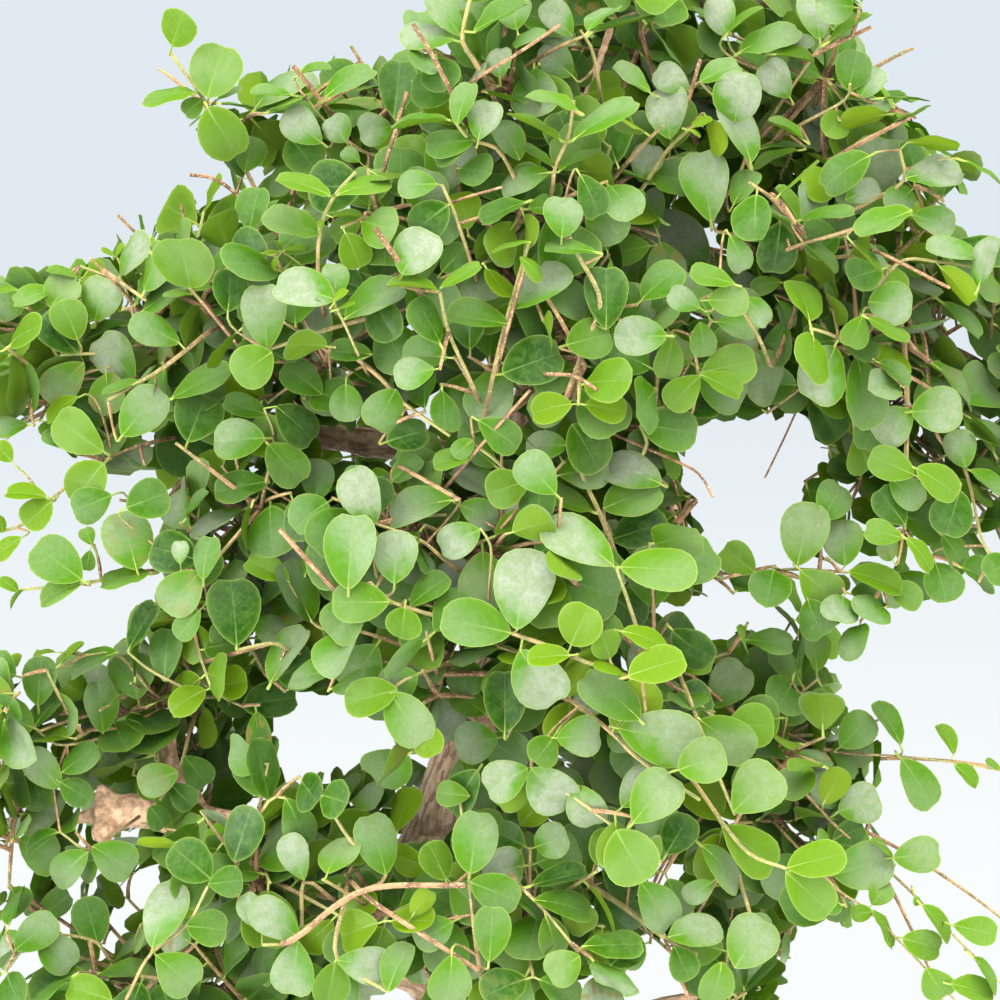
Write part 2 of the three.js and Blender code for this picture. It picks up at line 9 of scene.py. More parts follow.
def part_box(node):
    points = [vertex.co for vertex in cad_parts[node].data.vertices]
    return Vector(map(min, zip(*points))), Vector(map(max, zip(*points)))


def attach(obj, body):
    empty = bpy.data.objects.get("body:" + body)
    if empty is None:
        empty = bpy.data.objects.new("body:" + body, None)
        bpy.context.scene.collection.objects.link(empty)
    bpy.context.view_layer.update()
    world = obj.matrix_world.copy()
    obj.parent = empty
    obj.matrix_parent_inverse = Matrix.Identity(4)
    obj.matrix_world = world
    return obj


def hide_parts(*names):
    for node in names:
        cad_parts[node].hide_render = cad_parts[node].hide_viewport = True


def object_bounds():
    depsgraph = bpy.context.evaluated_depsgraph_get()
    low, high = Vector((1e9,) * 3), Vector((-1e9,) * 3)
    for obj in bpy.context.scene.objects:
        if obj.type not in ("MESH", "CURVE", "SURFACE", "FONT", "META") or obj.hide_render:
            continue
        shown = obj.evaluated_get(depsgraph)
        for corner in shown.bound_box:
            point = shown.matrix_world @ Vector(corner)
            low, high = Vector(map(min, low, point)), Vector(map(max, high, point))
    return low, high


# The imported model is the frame, in metres. The tree's points are written in millimetres from the
# middle of the pot, where a grower would measure from, and add_mesh brings them into the frame.
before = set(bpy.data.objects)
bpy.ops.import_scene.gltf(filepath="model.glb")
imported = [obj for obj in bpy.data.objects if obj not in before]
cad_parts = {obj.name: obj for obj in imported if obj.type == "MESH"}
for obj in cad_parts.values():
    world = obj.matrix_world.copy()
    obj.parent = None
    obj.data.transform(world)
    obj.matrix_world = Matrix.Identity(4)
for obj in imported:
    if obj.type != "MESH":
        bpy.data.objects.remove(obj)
cad_low, cad_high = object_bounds()
MM = 0.001
pot_low, pot_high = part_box("tray")
pot_middle = np.array([(pot_low.x + pot_high.x) / 2, (pot_low.y + pot_high.y) / 2, 0])
scene = bpy.context.scene

# The camera stands in front, level with the middle of the crown, and looks straight back. It takes
# in the crown alone: PIXEL is what one pixel of its 1000 x 1000 picture covers at the trunk.
EYE = Vector((0, -900, 322))
PIXEL = 0.3125
MIDDLE_PIXEL = 500
SENSOR = 36
camera = bpy.data.objects.new("camera", bpy.data.cameras.new("camera"))
scene.collection.objects.link(camera)
scene.camera = camera
camera.location = np.array(EYE) * MM + pot_middle
camera.rotation_euler = (math.radians(90), 0, 0)
camera.data.sensor_width = SENSOR
camera.data.lens = SENSOR / 2 * -EYE.y / (MIDDLE_PIXEL * PIXEL)
camera.data.clip_start = 0.05


def pixel_at(depth):
    """What one pixel covers at a depth of the tree."""
    return PIXEL * (depth - EYE.y) / -EYE.y


def sight(x, y, depth):
    """The point behind a pixel of the picture, at a depth of the tree."""
    scale = pixel_at(depth)
    return Vector(((x - MIDDLE_PIXEL) * scale, depth, EYE.z + (MIDDLE_PIXEL - y) * scale))


def seen(points):
    """The pixels at which points of the tree are seen."""
    x, depth, z = points.T
    scale = pixel_at(depth)
    return np.stack([x / scale + MIDDLE_PIXEL, MIDDLE_PIXEL - (z - EYE.z) / scale], axis=1)


# The pot is a rectangular stoneware tray, pressed in a mould and fired without glaze. Its walls
# lean out to a rolled lip. It stands on four feet, and water leaves by two holes in its floor.
POT_LENGTH, POT_WIDTH, POT_HEIGHT = 236, 176, 70
POT_FOOT, POT_FLOOR, POT_WALL, POT_LIP, POT_SLOPE = 9, 17, 7, 4, 12
FOOT_LENGTH, FOOT_WIDTH, FOOT_CORNER, FOOT_IN = 40, 26, 5, 3
DRAIN_AT, DRAIN_RADIUS = 52, 8


def rounded(length, width, corner, z, steps=9):
    """A level rectangle with round corners, anticlockwise from the front right corner."""
    ring = []
    for sx, sy, start in ((1, -1, -90), (1, 1, 0), (-1, 1, 90), (-1, -1, 180)):
        for step in range(steps):
            turn = math.radians(start + 90 * step / (steps - 1))
            x = sx * (length / 2 - corner) + corner * math.cos(turn)
            y = sy * (width / 2 - corner) + corner * math.sin(turn)
            ring.append((x, y, z))
    return ring


def bands(rows, count, first=0):
    """The faces between rows of points, count to a row, each row closed on itself."""
    faces = []
    for row in range(rows - 1):
        low = first + row * count
        for k in range(count):
            after = (k + 1) % count
            faces.append((low + k, low + after, low + count + after, low + count + k))
    return faces


def lofted(rings):
    """The points and faces of a closed body over its rings, from the lowest to the last."""
    count = len(rings[0])
    points = [point for ring in rings for point in ring]
    last = len(points) - count
    ends = [tuple(range(count))[::-1], tuple(range(last, last + count))]
    return points, bands(len(rings), count) + ends


def joined(bodies):
    """Several bodies' points and faces as one list of each."""
    start, faces = 0, []
    for body_points, body_faces in bodies:
        faces.extend(tuple(start + k for k in face) for face in body_faces)
        start += len(body_points)
    return np.vstack([body_points for body_points, body_faces in bodies]), faces


def add_mesh(name, points, faces):
    """Adds an object from points of the tree."""
    mesh = bpy.data.meshes.new(name)
    mesh.from_pydata(np.asarray(points) * MM + pot_middle, [], faces)
    added = bpy.data.objects.new(name, mesh)
    scene.collection.objects.link(added)
    return added


def add_piece(name, points, faces, slot, nodes, sharp=40):
    """Adds a piece of the part, which shows in place of the model's nodes."""
    piece = add_mesh(name, points, faces)
    piece.data.shade_smooth()
    piece.data.set_sharp_from_angle(angle=math.radians(sharp))
    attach(piece, "root")
    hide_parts(*nodes)
    return piece


def settle(piece):
    """Makes the modifiers of a piece part of its mesh."""
    graph = bpy.context.evaluated_depsgraph_get()
    shaped = bpy.data.meshes.new_from_object(piece.evaluated_get(graph))
    piece.modifiers.clear()
    piece.data = shaped


def pot_lean(z):
    """How far the wall stands in from its place at the rim."""
    return POT_SLOPE * (1 - (z - POT_FOOT) / (POT_HEIGHT - POT_FOOT))


def pot_ring(z, inset, corner):
    """The outline of the pot at a height, set in from the line of its wall."""
    inward = 2 * (inset + pot_lean(z))
    return rounded(POT_LENGTH - inward, POT_WIDTH - inward, corner, z)


# Each ring's height, distance in from the line of the wall and corner radius, from the bottom up the
# outside, over the lip and down the inside
inner = POT_LIP + POT_WALL
profile = [
    (9, 6.5, 9.5), (9.4, 5, 11), (10.6, 4.2, 11.8), (13, 4, 12), (30, 4, 13), (47, 4, 15),
    (58, 4, 16), (60.2, 3.7, 16.3), (61.2, 2.8, 17), (61.6, 1.5, 17.5), (62.3, 0.6, 18),
    (64, 0.1, 18), (66.5, 0, 18), (68.6, 0.3, 18), (69.6, 1, 17.5), (70, 2, 17), (70, 5, 15),
    (70, 8.5, 13), (69.7, 10, 12), (68.8, inner - 0.2, 11.3), (66, inner, 11), (45, inner, 10),
    (22, inner, 8.6), (18.6, inner + 0.6, 8), (17.4, inner + 2, 7), (POT_FLOOR, inner + 4, 6),
]
bodies = [lofted([pot_ring(z, inset, corner) for z, inset, corner in profile])]
for sx, sy in ((-1, -1), (-1, 1), (1, -1), (1, 1)):
    x = sx * (POT_LENGTH / 2 - POT_LIP - POT_SLOPE - FOOT_LENGTH / 2 - FOOT_IN)
    y = sy * (POT_WIDTH / 2 - POT_LIP - POT_SLOPE - FOOT_WIDTH / 2 - FOOT_IN)
    foot = []
    for z, inset in ((0, 3), (0.3, 2.3), (1.2, 1.8), (POT_FOOT - 2, 0.6), (POT_FOOT + 2, 0)):
        ring = rounded(FOOT_LENGTH - 2 * inset, FOOT_WIDTH - 2 * inset, FOOT_CORNER, z)
        foot.append([(x + px, y + py, z) for px, py, z in ring])
    bodies.append(lofted(foot))
pot = add_piece("pot", *joined(bodies), "clay", ["tray"])
DRAIN_SIDES, DRILL_PAST = 32, 4
turns = [2 * math.pi * k / DRAIN_SIDES for k in range(DRAIN_SIDES)]
for side in (-1, 1):
    drill = add_mesh("drill", *lofted([
        [(side * DRAIN_AT + DRAIN_RADIUS * math.cos(t), DRAIN_RADIUS * math.sin(t), z) for t in turns]
        for z in (POT_FOOT - DRILL_PAST, POT_FLOOR + DRILL_PAST)
    ]))
    cut = pot.modifiers.new("drain hole", "BOOLEAN")
    cut.object = drill
    cut.solver = "EXACT"
    settle(pot)
    bpy.data.objects.remove(drill)


def new_look(name):
    """A new material with nothing in it, and the nodes to fill."""
    material = bpy.data.materials.new(name)
    material.use_nodes = True
    material.node_tree.nodes.clear()
    return material, material.node_tree


def shade(tree, kind, inputs=None, **settings):
    """Adds a shader node. Each input is a number, a colour or another node's socket."""
    made = tree.nodes.new("ShaderNode" + kind)
    for key, value in settings.items():
        setattr(made, key, value)
    for key, value in (inputs or {}).items():
        if isinstance(value, bpy.types.NodeSocket):
            tree.links.new(value, made.inputs[key])
        elif isinstance(value, tuple) and len(value) == 3 and made.inputs[key].type == "RGBA":
            made.inputs[key].default_value = (*value, 1)
        else:
            made.inputs[key].default_value = value
    return made


def mixed(tree, share, first, second, blend="MIX"):
    """The colour that is a share of the second in the first."""
    values = {"Fac": share, "Color1": first, "Color2": second}
    return shade(tree, "MixRGB", values, blend_type=blend).outputs["Color"]


def ramp(tree, value, low, high, start=0.0, end=1.0):
    """A value brought from low..high to start..end, smoothly and no further."""
    values = {"Value": value, "From Min": low, "From Max": high, "To Min": start, "To Max": end}
    return shade(tree, "MapRange", values, interpolation_type="SMOOTHSTEP").outputs["Result"]


def grain(tree, scale, detail=3.0, where=None):
    """Noise over a piece, scale spots to the metre, or over another place if it is given."""
    place = where or shade(tree, "TexCoord").outputs["Object"]
    return shade(tree, "TexNoise", {"Vector": place, "Scale": scale, "Detail": detail}).outputs["Fac"]


def worked(tree, operation, *values):
    """What a sum, a product or the like makes of up to three values."""
    return shade(tree, "Math", dict(enumerate(values)), operation=operation).outputs[0]


def surface(tree, colour, roughness, relief=None, gloss=0.5):
    """A surface. Its relief is a pattern, how strongly it shows, and its depth in metres."""
    values = {"Base Color": colour, "Roughness": roughness, "Specular IOR Level": gloss}
    if relief:
        values["Normal"] = shade(
            tree, "Bump", dict(zip(("Height", "Strength", "Distance"), relief))
        ).outputs["Normal"]
    return shade(tree, "BsdfPrincipled", values).outputs[0]


def finish_look(tree, shader):
    """Gives a material its surface."""
    shade(tree, "OutputMaterial", {"Surface": shader})


clay, tree = new_look("clay")
flashing = ramp(tree, grain(tree, 22), 0.35, 0.7)
body_colour = mixed(tree, flashing, (0.036, 0.017, 0.011), (0.078, 0.037, 0.023))
specks = ramp(tree, grain(tree, 1400, 1), 0.62, 0.7)
speckled = mixed(tree, specks, body_colour, (0.13, 0.085, 0.06))
pits = ramp(tree, grain(tree, 900, 2), 0.3, 0.4, 1, 0)
pitted = mixed(tree, pits, speckled, (0.035, 0.017, 0.011))
rough = worked(tree, "SUBTRACT", grain(tree, 2600, 2), pits)
fired = surface(tree, pitted, ramp(tree, flashing, 0, 1, 0.84, 0.68), (rough, 0.35, 0.0004))
finish_look(tree, fired)
pot.data.materials.append(clay)

# A square of moulded plastic mesh lies over each drain hole and keeps the soil in. The model's own
# nodes show, in dark plastic that the soil has dulled.
drain_plastic, tree = new_look("drain plastic")
dust = ramp(tree, grain(tree, 260), 0.4, 0.7)
dulled = mixed(tree, dust, (0.018, 0.022, 0.018), (0.075, 0.06, 0.042))
finish_look(tree, surface(tree, dulled, ramp(tree, dust, 0, 1, 0.45, 0.85)))
for name in ("drain_mesh_left", "drain_mesh_right"):
    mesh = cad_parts[name].data
    mesh.materials.clear()
    mesh.materials.append(drain_plastic)

# The soil fills the pot and rises to the trunk: fired clay granules, pumice and lava, sieved to
# about 3 mm. Loose granules lie on top, and moss has grown in patches near the roots.
SOIL_BASE, SOIL_EDGE, SOIL_MIDDLE = POT_FLOOR + 1.8, 64, 76
SOIL_GAP = 0.3
SOIL_CORNER, SOIL_CORNER_POINTS, SOIL_STEPS = 11, 16, 46
SOIL_LUMPS, LUMP_GRAIN = 0.9, 0.35
TRUNK_FOOT = Vector((2, 4, 84))
dice = random.Random(11)


def soil_height(share):
    """The soil's height at a share of the way from the wall to the middle."""
    return SOIL_EDGE + (SOIL_MIDDLE - SOIL_EDGE) * math.sin(share * math.pi / 2)


def soil_size(z):
    """The length and width of the soil at a height, a little clear of the wall."""
    inward = 2 * (inner + pot_lean(z) + SOIL_GAP)
    return POT_LENGTH - inward, POT_WIDTH - inward


length, width = soil_size(20)
rings = [rounded(length, width, 7.7, SOIL_BASE, SOIL_CORNER_POINTS)]
length, width = soil_size(SOIL_EDGE)
for step in range(SOIL_STEPS):
    share = step / SOIL_STEPS
    corner = SOIL_CORNER * (1 - share) + 0.5
    ring = rounded(length * (1 - share), width * (1 - share), corner, 0, SOIL_CORNER_POINTS)
    lump = [noise.noise(Vector(point) * LUMP_GRAIN) for point in ring]
    rings.append([(x, y, soil_height(share) + SOIL_LUMPS * up) for (x, y, z), up in zip(ring, lump)])
soil = add_piece("soil_bed", *lofted(rings), "earth", ["soil"], sharp=60)

# A granule is a twenty-sided ball, squashed and turned at random
golden = (1 + math.sqrt(5)) / 2
ball = [(0, a, b * golden) for a in (-1, 1) for b in (-1, 1)]
ball += [(a, b * golden, 0) for a in (-1, 1) for b in (-1, 1)]
ball += [(a * golden, 0, b) for b in (-1, 1) for a in (-1, 1)]
ball = [Vector(point).normalized() for point in ball]
ball_faces = [
    (a, b, c)
    for a in range(12) for b in range(a + 1, 12) for c in range(b + 1, 12)
    if max((ball[a] - ball[b]).length, (ball[b] - ball[c]).length, (ball[a] - ball[c]).length) < 1.1
]
ball_faces = [
    face if (ball[face[1]] - ball[face[0]]).cross(ball[face[2]] - ball[face[0]]).dot(ball[face[0]]) > 0
    else face[::-1]
    for face in ball_faces
]
GRANULES = 1700
GRANULE_SIZE = 0.8, 1.9
WALL_ROOM, CORNER_ROOM, TRUNK_ROOM = 4, 9, 17
MOSS_GRAIN, MOSS_REACH, MOSS_SHARE = 0.035, 48, 0.75
granules, moss = [], []
while len(granules) < GRANULES:
    x, y = dice.uniform(-0.5, 0.5) * (length - WALL_ROOM), dice.uniform(-0.5, 0.5) * (width - WALL_ROOM)
    share = 1 - max(abs(x) / (length / 2), abs(y) / (width / 2))
    away = math.hypot(x - TRUNK_FOOT.x, y - TRUNK_FOOT.y)
    in_corner = abs(x) > length / 2 - CORNER_ROOM and abs(y) > width / 2 - CORNER_ROOM
    if away < TRUNK_ROOM or (share < 0.12 and in_corner):
        continue
    patch = noise.noise(Vector((x * MOSS_GRAIN, y * MOSS_GRAIN, 5))) + 0.35 * (away < MOSS_REACH)
    foot = Vector((x, y, soil_height(share)))
    if patch > 0.28 and dice.random() < MOSS_SHARE:
        moss.append(foot)
        continue
    size = dice.uniform(*GRANULE_SIZE)
    spin = Matrix.Rotation(dice.uniform(0, 6), 3, Vector([dice.gauss(0, 1) for _ in range(3)]))
    squash = Vector([size * dice.uniform(0.75, 1.2) for _ in range(3)])
    granules.append([foot + spin @ (point * squash) + Vector((0, 0, 0.3)) for point in ball])
loose = add_piece("soil_granules", *joined([(points, ball_faces) for points in granules]), "earth", [])


def mark(piece, name, values):
    """Gives each point of a piece a value, or three, that its look can read."""
    values = np.asarray(values, np.float32)
    kind, key = ("FLOAT_VECTOR", "vector") if values.ndim == 2 else ("FLOAT", "value")
    attribute = piece.data.attributes.new(name, kind, "POINT")
    attribute.data.foreach_set(key, values.ravel())


mark(loose, "kind", np.repeat([dice.random() for _ in granules], len(ball)))

# Moss is many short shoots, each a thin three-sided spike
SHOOTS_IN_TUFT, TUFT_RADIUS, SHOOT_RADIUS = 9, 2.6, 0.42
tufts = []
for foot in moss:
    for _ in range(SHOOTS_IN_TUFT):
        around, out = dice.uniform(0, 2 * math.pi), dice.uniform(0, TUFT_RADIUS)
        root = foot + Vector((out * math.cos(around), out * math.sin(around), -0.4))
        tip = root + Vector((dice.uniform(-0.8, 0.8), dice.uniform(-0.8, 0.8), dice.uniform(1.6, 3.2)))
        turn = dice.uniform(0, 2)
        ring = [
            root + SHOOT_RADIUS * Vector((math.cos(turn + k * 2.1), math.sin(turn + k * 2.1), 0))
            for k in range(3)
        ]
        tufts.append(([*ring, tip], [(0, 1, 3), (1, 2, 3), (2, 0, 3)]))
cushions = add_piece("moss", *joined(tufts), "earth", [])


def marked(tree, name, socket="Fac"):
    """What mark gave the points of a piece."""
    return shade(tree, "Attribute", attribute_name=name).outputs[socket]


def parts(tree, vector):
    """The three parts of a vector."""
    return shade(tree, "SeparateXYZ", {0: vector}).outputs


def height_in(tree):
    """The height over the table."""
    return parts(tree, shade(tree, "TexCoord").outputs["Object"])["Z"]


earth, tree = new_look("soil")
kind = marked(tree, "kind")
lava = mixed(tree, ramp(tree, kind, 0.3, 0.35), (0.07, 0.04, 0.03), (0.21, 0.11, 0.055))
pumice = mixed(tree, ramp(tree, kind, 0.8, 0.82), lava, (0.36, 0.31, 0.25))
damp = ramp(tree, grain(tree, 60), 0.35, 0.65, 0.55, 1)
darkness = shade(tree, "CombineColor", {k: damp for k in range(3)}).outputs[0]
dirt = mixed(tree, 1.0, pumice, darkness, "MULTIPLY")
dirt = mixed(tree, ramp(tree, grain(tree, 700), 0.4, 0.6, 0, 0.5), dirt, (0.05, 0.03, 0.02))
dull = ramp(tree, damp, 0.55, 1, 0.75, 0.97)
finish_look(tree, surface(tree, dirt, dull, (grain(tree, 1500), 0.7, 0.0005)))
for piece in (soil, loose):
    piece.data.materials.append(earth)

moss_look, tree = new_look("moss")
fresh = ramp(tree, grain(tree, 130), 0.35, 0.65)
tips = ramp(tree, height_in(tree), (SOIL_EDGE - 1) * MM, (SOIL_MIDDLE + 4) * MM, 0.0, 0.6)
mossy = mixed(tree, fresh, (0.03, 0.055, 0.012), (0.07, 0.12, 0.02))
mossy = mixed(tree, tips, mossy, (0.12, 0.19, 0.04))
finish_look(tree, surface(tree, mossy, ramp(tree, fresh, 0, 1, 0.95, 0.75)))
cushions.data.materials.append(moss_look)

# The trunk rises from its surface roots in an S and thins to the crown, and the limbs leave it on
# the outside of its bends. Wood and bark have grown over every fork, so they are one mesh.
TRUNK = [
    (2, 4, 60), (2, 4, 76), (5, 5, 92), (13, 8, 110), (14, 10, 130), (2, 10, 150), (-16, 10, 168),
    (-28, 9, 191), (-22, 9, 213), (-17, 9, 231), (-9, 10, 252), (-2, 10, 271), (7, 9, 298),
    (9, 7, 324), (9, 6, 345), (14, 6, 368), (24, 8, 392), (32, 8, 416), (36, 6, 440), (38, 4, 456),
]
TRUNK_RADII = [
    17, 21, 16.5, 14.5, 13.5, 12.6, 11.8, 10.8, 9.8, 8.9, 8.2, 7.7, 7.3, 7, 6.6, 6, 5.2, 4.4, 3.5, 2.6,
]
# Each limb: its radius where it leaves and at its end, then the points up its middle
LIMBS = {
    "left_high": (6.2, 2.2, (4, 8, 318), (-10, 4, 329), (-21, 2, 337), (-47, 0, 341), (-64, 0, 344),
                  (-92, 2, 352), (-122, 4, 361)),
    "left_back": (3, 1.5, (-48, 0, 341), (-70, 34, 354), (-86, 62, 360)),
    "right_high": (5, 2, (12, 6, 358), (34, 2, 368), (62, -4, 370), (92, -6, 362), (122, -6, 364)),
    "right_back": (2.8, 1.5, (40, 0, 369), (66, 36, 374), (92, 62, 378)),
    "left_low": (6, 2.4, (-26, 8, 194), (-48, 0, 205), (-74, -6, 214), (-92, -8, 220), (-95, -8, 229),
                 (-101, -7, 237), (-106, -5, 252)),
    "left_stump": (5, 5.4, (-90, -8, 219), (-104, -9, 224), (-114, -10, 226), (-125, -11, 226)),
    "left_low_tip": (2.6, 1.6, (-118, -10, 226), (-136, -12, 223), (-148, -11, 222)),
    "left_low_back": (3, 1.6, (-74, -6, 214), (-84, 22, 222), (-92, 44, 228)),
    "right_low": (4.8, 1.7, (-10, 9, 250), (16, -4, 254), (44, -12, 250), (72, -14, 240), (98, -12, 226)),
    "right_low_back": (2.8, 1.5, (26, -7, 253), (54, 26, 248), (72, 50, 250)),
    "front_low": (4, 1.8, (-23, 6, 208), (-14, -24, 207), (6, -46, 198)),
    "left_base": (4.5, 2, (-16, 10, 168), (-50, 0, 176), (-88, -6, 178)),
    "right_base": (4.5, 2, (8, 9, 144), (36, -2, 160), (68, -8, 170)),
    "back_low": (4, 1.8, (-24, 12, 200), (-14, 44, 208), (4, 74, 212)),
    "back_mid": (4, 1.8, (3, 10, 284), (8, 46, 296), (-2, 78, 304)),
    "front_mid": (3.6, 1.7, (4, 7, 288), (-4, -30, 300), (-10, -58, 300)),
    "left_mid": (3.8, 1.7, (7, 9, 300), (-36, -8, 302), (-76, -14, 306)),
    "right_mid": (3.8, 1.9, (9, 7, 326), (34, 0, 328), (58, -6, 320)),
    "back_top": (3.6, 1.6, (15, 8, 370), (22, 44, 384), (16, 78, 392)),
    "front_top": (3.5, 1.6, (13, 5, 366), (8, -32, 380), (0, -62, 388)),
    "left_top": (3.3, 1.5, (25, 8, 395), (-4, 4, 414), (-42, 0, 424), (-78, -2, 430)),
    "right_top": (3.2, 1.4, (32, 8, 416), (62, 4, 430), (98, 0, 440)),
}
# Surface roots: the way each runs from the foot of the trunk, in degrees, and how far; then how each
# runs, by its share of the way, its height and how far it swings aside, and its radius at each point
ROOTS = [(12, 46), (70, 38), (128, 44), (190, 50), (238, 40), (300, 48)]
ROOT_RUN = [(0, 84, 0), (0.45, 78, 5), (0.75, 75.5, -4), (1, 70, 6)]
ROOT_START = 8
ROOT_RADII = [8, 6, 4.2, 3, 1.6]
# Twigs cut back, which stay bare: the radius at each end, then the points
CUT_TWIGS = [
    (2.8, 1.3, (12, 2, 372), (9, -26, 408), (21, -30, 430), (34, -33, 466)),
    (2.2, 1.8, (26, 6, 398), (23, -14, 474)),
    (1.9, 1.5, (62, 2, 430), (49, -10, 478)),
    (2.1, 1.7, (72, 4, 434), (113, -14, 452)),
    (3, 2, (92, -6, 362), (88, -12, 349)),
    (3.4, 2.8, (46, -1, 325), (53, -12, 315)),
    (2, 2.2, (-92, -8, 226), (-76, -22, 224)),
    (1.8, 1.3, (-101, -7, 238), (-102, -13, 258)),
    (1.9, 1.5, (-134, -12, 223), (-150, -20, 260)),
    (2.2, 1.9, (-23, 4, 206), (-12, -30, 201)),
    (2.8, 3.3, (-115, -9, 224), (-124, -17, 219)),
    (4.2, 1.6, (-118, -10, 226), (-124, -11, 234)),
    (4.6, 4.4, (-108, -10, 225), (-120, -10, 226)),
]


def through(points, spacing):
    """Even steps along the smooth curve through a row of points, and each one's share of the row."""
    row = np.array(points, float)
    row = np.vstack([2 * row[0] - row[1], row, 2 * row[-1] - row[-2]])
    t = np.linspace(0, 1, 16, endpoint=False)[:, None]
    spans = []
    for a, b, c, d in zip(row, row[1:], row[2:], row[3:]):
        bend = (2 * a - 5 * b + 4 * c - d) / 2 * t**2 + (3 * b - a - 3 * c + d) / 2 * t**3
        spans.append(b + (c - a) / 2 * t + bend)
    curve = np.vstack([*spans, row[-2]])
    far = np.r_[0, np.cumsum(np.linalg.norm(np.diff(curve, axis=0), axis=1))]
    even = np.linspace(0, far[-1], max(3, round(far[-1] / spacing) + 1))
    line = np.stack([np.interp(even, far, curve[:, k]) for k in range(3)], axis=1)
    shares = np.interp(even, far, np.linspace(0, len(points) - 1, len(curve)))
    return line, shares


def ways_across(line):
    """Two ways square to a line at each of its points, which turn with it."""
    along = np.gradient(line, axis=0)
    along /= np.linalg.norm(along, axis=1)[:, None]
    side = np.cross(along[0], (0.3, 0.2, 1) if abs(along[0][2]) < 0.9 else (1, 0, 0))
    sides = []
    for way in along:
        side = side - way * side.dot(way)
        side /= np.linalg.norm(side)
        sides.append(side)
    sides = np.array(sides)
    return sides, np.cross(along, sides)


def tube(line, radii, sides, swell=None):
    """The points and faces of a closed round stem along a line."""
    right, up = ways_across(line)
    turns = 2 * np.pi * np.arange(sides) / sides
    radii = np.broadcast_to(np.asarray(radii, float)[:, None], (len(line), sides))
    if swell is not None:
        radii = radii * swell(line, turns)
    ring = np.cos(turns)[None, :, None] * right[:, None] + np.sin(turns)[None, :, None] * up[:, None]
    points = line[:, None] + radii[..., None] * ring
    faces = bands(len(line), sides)
    last = (len(line) - 1) * sides
    faces += [tuple(range(sides))[::-1], tuple(range(last, last + sides))]
    return points.reshape(-1, 3), faces


def muscle(line, turns):
    """Old wood is fluted: it swells and sinks along the lines of its roots and limbs."""
    twist = line[:, 2:3] * 0.021
    return (
        1
        + 0.055 * np.cos(3 * turns[None] + twist * 2 + 1)
        + 0.04 * np.cos(5 * turns[None] - twist * 3)
        + 0.03 * np.cos(2 * turns[None] + line[:, 2:3] * 0.11)
    )


WOOD_STEP = 2
TRUNK_SIDES, LIMB_SIDES, TWIG_STUB_SIDES = 40, 16, 10
FLUTED_FROM = 4
VOXEL = 1.25
wood_lines = {}
bodies = []
line, shares = through(TRUNK, WOOD_STEP)
wood_lines["trunk"] = (line, np.interp(shares, range(len(TRUNK)), TRUNK_RADII))
bodies.append(tube(*wood_lines["trunk"], TRUNK_SIDES, muscle))
for name, (first, last, *points) in LIMBS.items():
    line, shares = through(points, WOOD_STEP)
    radii = np.linspace(first, last, len(line))
    radii *= 1 + 0.07 * np.sin(np.arange(len(line)) * 0.9 + len(name)) * (radii > 1.8)
    wood_lines[name] = (line, radii)
    bodies.append(tube(line, radii, LIMB_SIDES, muscle if first > FLUTED_FROM else None))
for heading, reach in ROOTS:
    points = []
    for share, height, swing in ROOT_RUN:
        far = max(ROOT_START, share * reach)
        turn = math.radians(heading + swing)
        points.append((TRUNK_FOOT.x + far * math.cos(turn), TRUNK_FOOT.y + far * math.sin(turn), height))
    line, shares = through(points, WOOD_STEP)
    radii = np.interp(shares, [0, 0.5, 1, 2, 3], ROOT_RADII)
    wood_lines[f"root {heading}"] = (line, radii)
    bodies.append(tube(line, radii, LIMB_SIDES, muscle))
for number, (first, last, *points) in enumerate(CUT_TWIGS):
    line, shares = through(points, WOOD_STEP)
    wood_lines[f"cut {number}"] = (line, np.linspace(first, last, len(line)))
    bodies.append(tube(*wood_lines[f"cut {number}"], TWIG_STUB_SIDES))
wood = add_piece("trunk_wood", *joined(bodies), "bark", ["trunk_and_limbs"])
grow_together = wood.modifiers.new("grow together", "REMESH")
grow_together.mode = "VOXEL"
grow_together.voxel_size = VOXEL * MM
heal = wood.modifiers.new("heal", "SMOOTH")
heal.factor = 0.5
heal.iterations = 2
settle(wood)

# Bark: the mesh takes its thickness from the nearest limb, and on the old wood it breaks up into
# long plates that flake. bark_place runs round and along each limb, so the plates follow it.
PLATE, LUMP = 0.33, 0.22
PLATE_STRETCH = 0.3
STUMP_FROM, STUMP_BELOW = -80, 262
centres = np.vstack([line for line, radii in wood_lines.values()])
centre_radii = np.hstack([radii for line, radii in wood_lines.values()])
rights, ups = (np.vstack(ways) for ways in zip(*[ways_across(line) for line, radii in wood_lines.values()]))
runs = np.hstack([np.arange(len(line)) * WOOD_STEP for line, radii in wood_lines.values()])
finder = kdtree.KDTree(len(centres))
for number, centre in enumerate(centres):
    finder.insert(centre, number)
finder.balance()
mesh = wood.data
count = len(mesh.vertices)
places = np.empty(3 * count, np.float32)
mesh.vertices.foreach_get("co", places)
places = (places.reshape(-1, 3) - pot_middle) / MM
normals = np.empty(3 * count, np.float32)
mesh.vertex_normals.foreach_get("vector", normals)
normals = normals.reshape(-1, 3)
nearest = np.array([finder.find(place)[1] for place in places])
offset = places - centres[nearest]
across, upward = (offset * rights[nearest]).sum(axis=1), (offset * ups[nearest]).sum(axis=1)
bark_place = np.stack([across, upward, runs[nearest] * PLATE_STRETCH], axis=1)
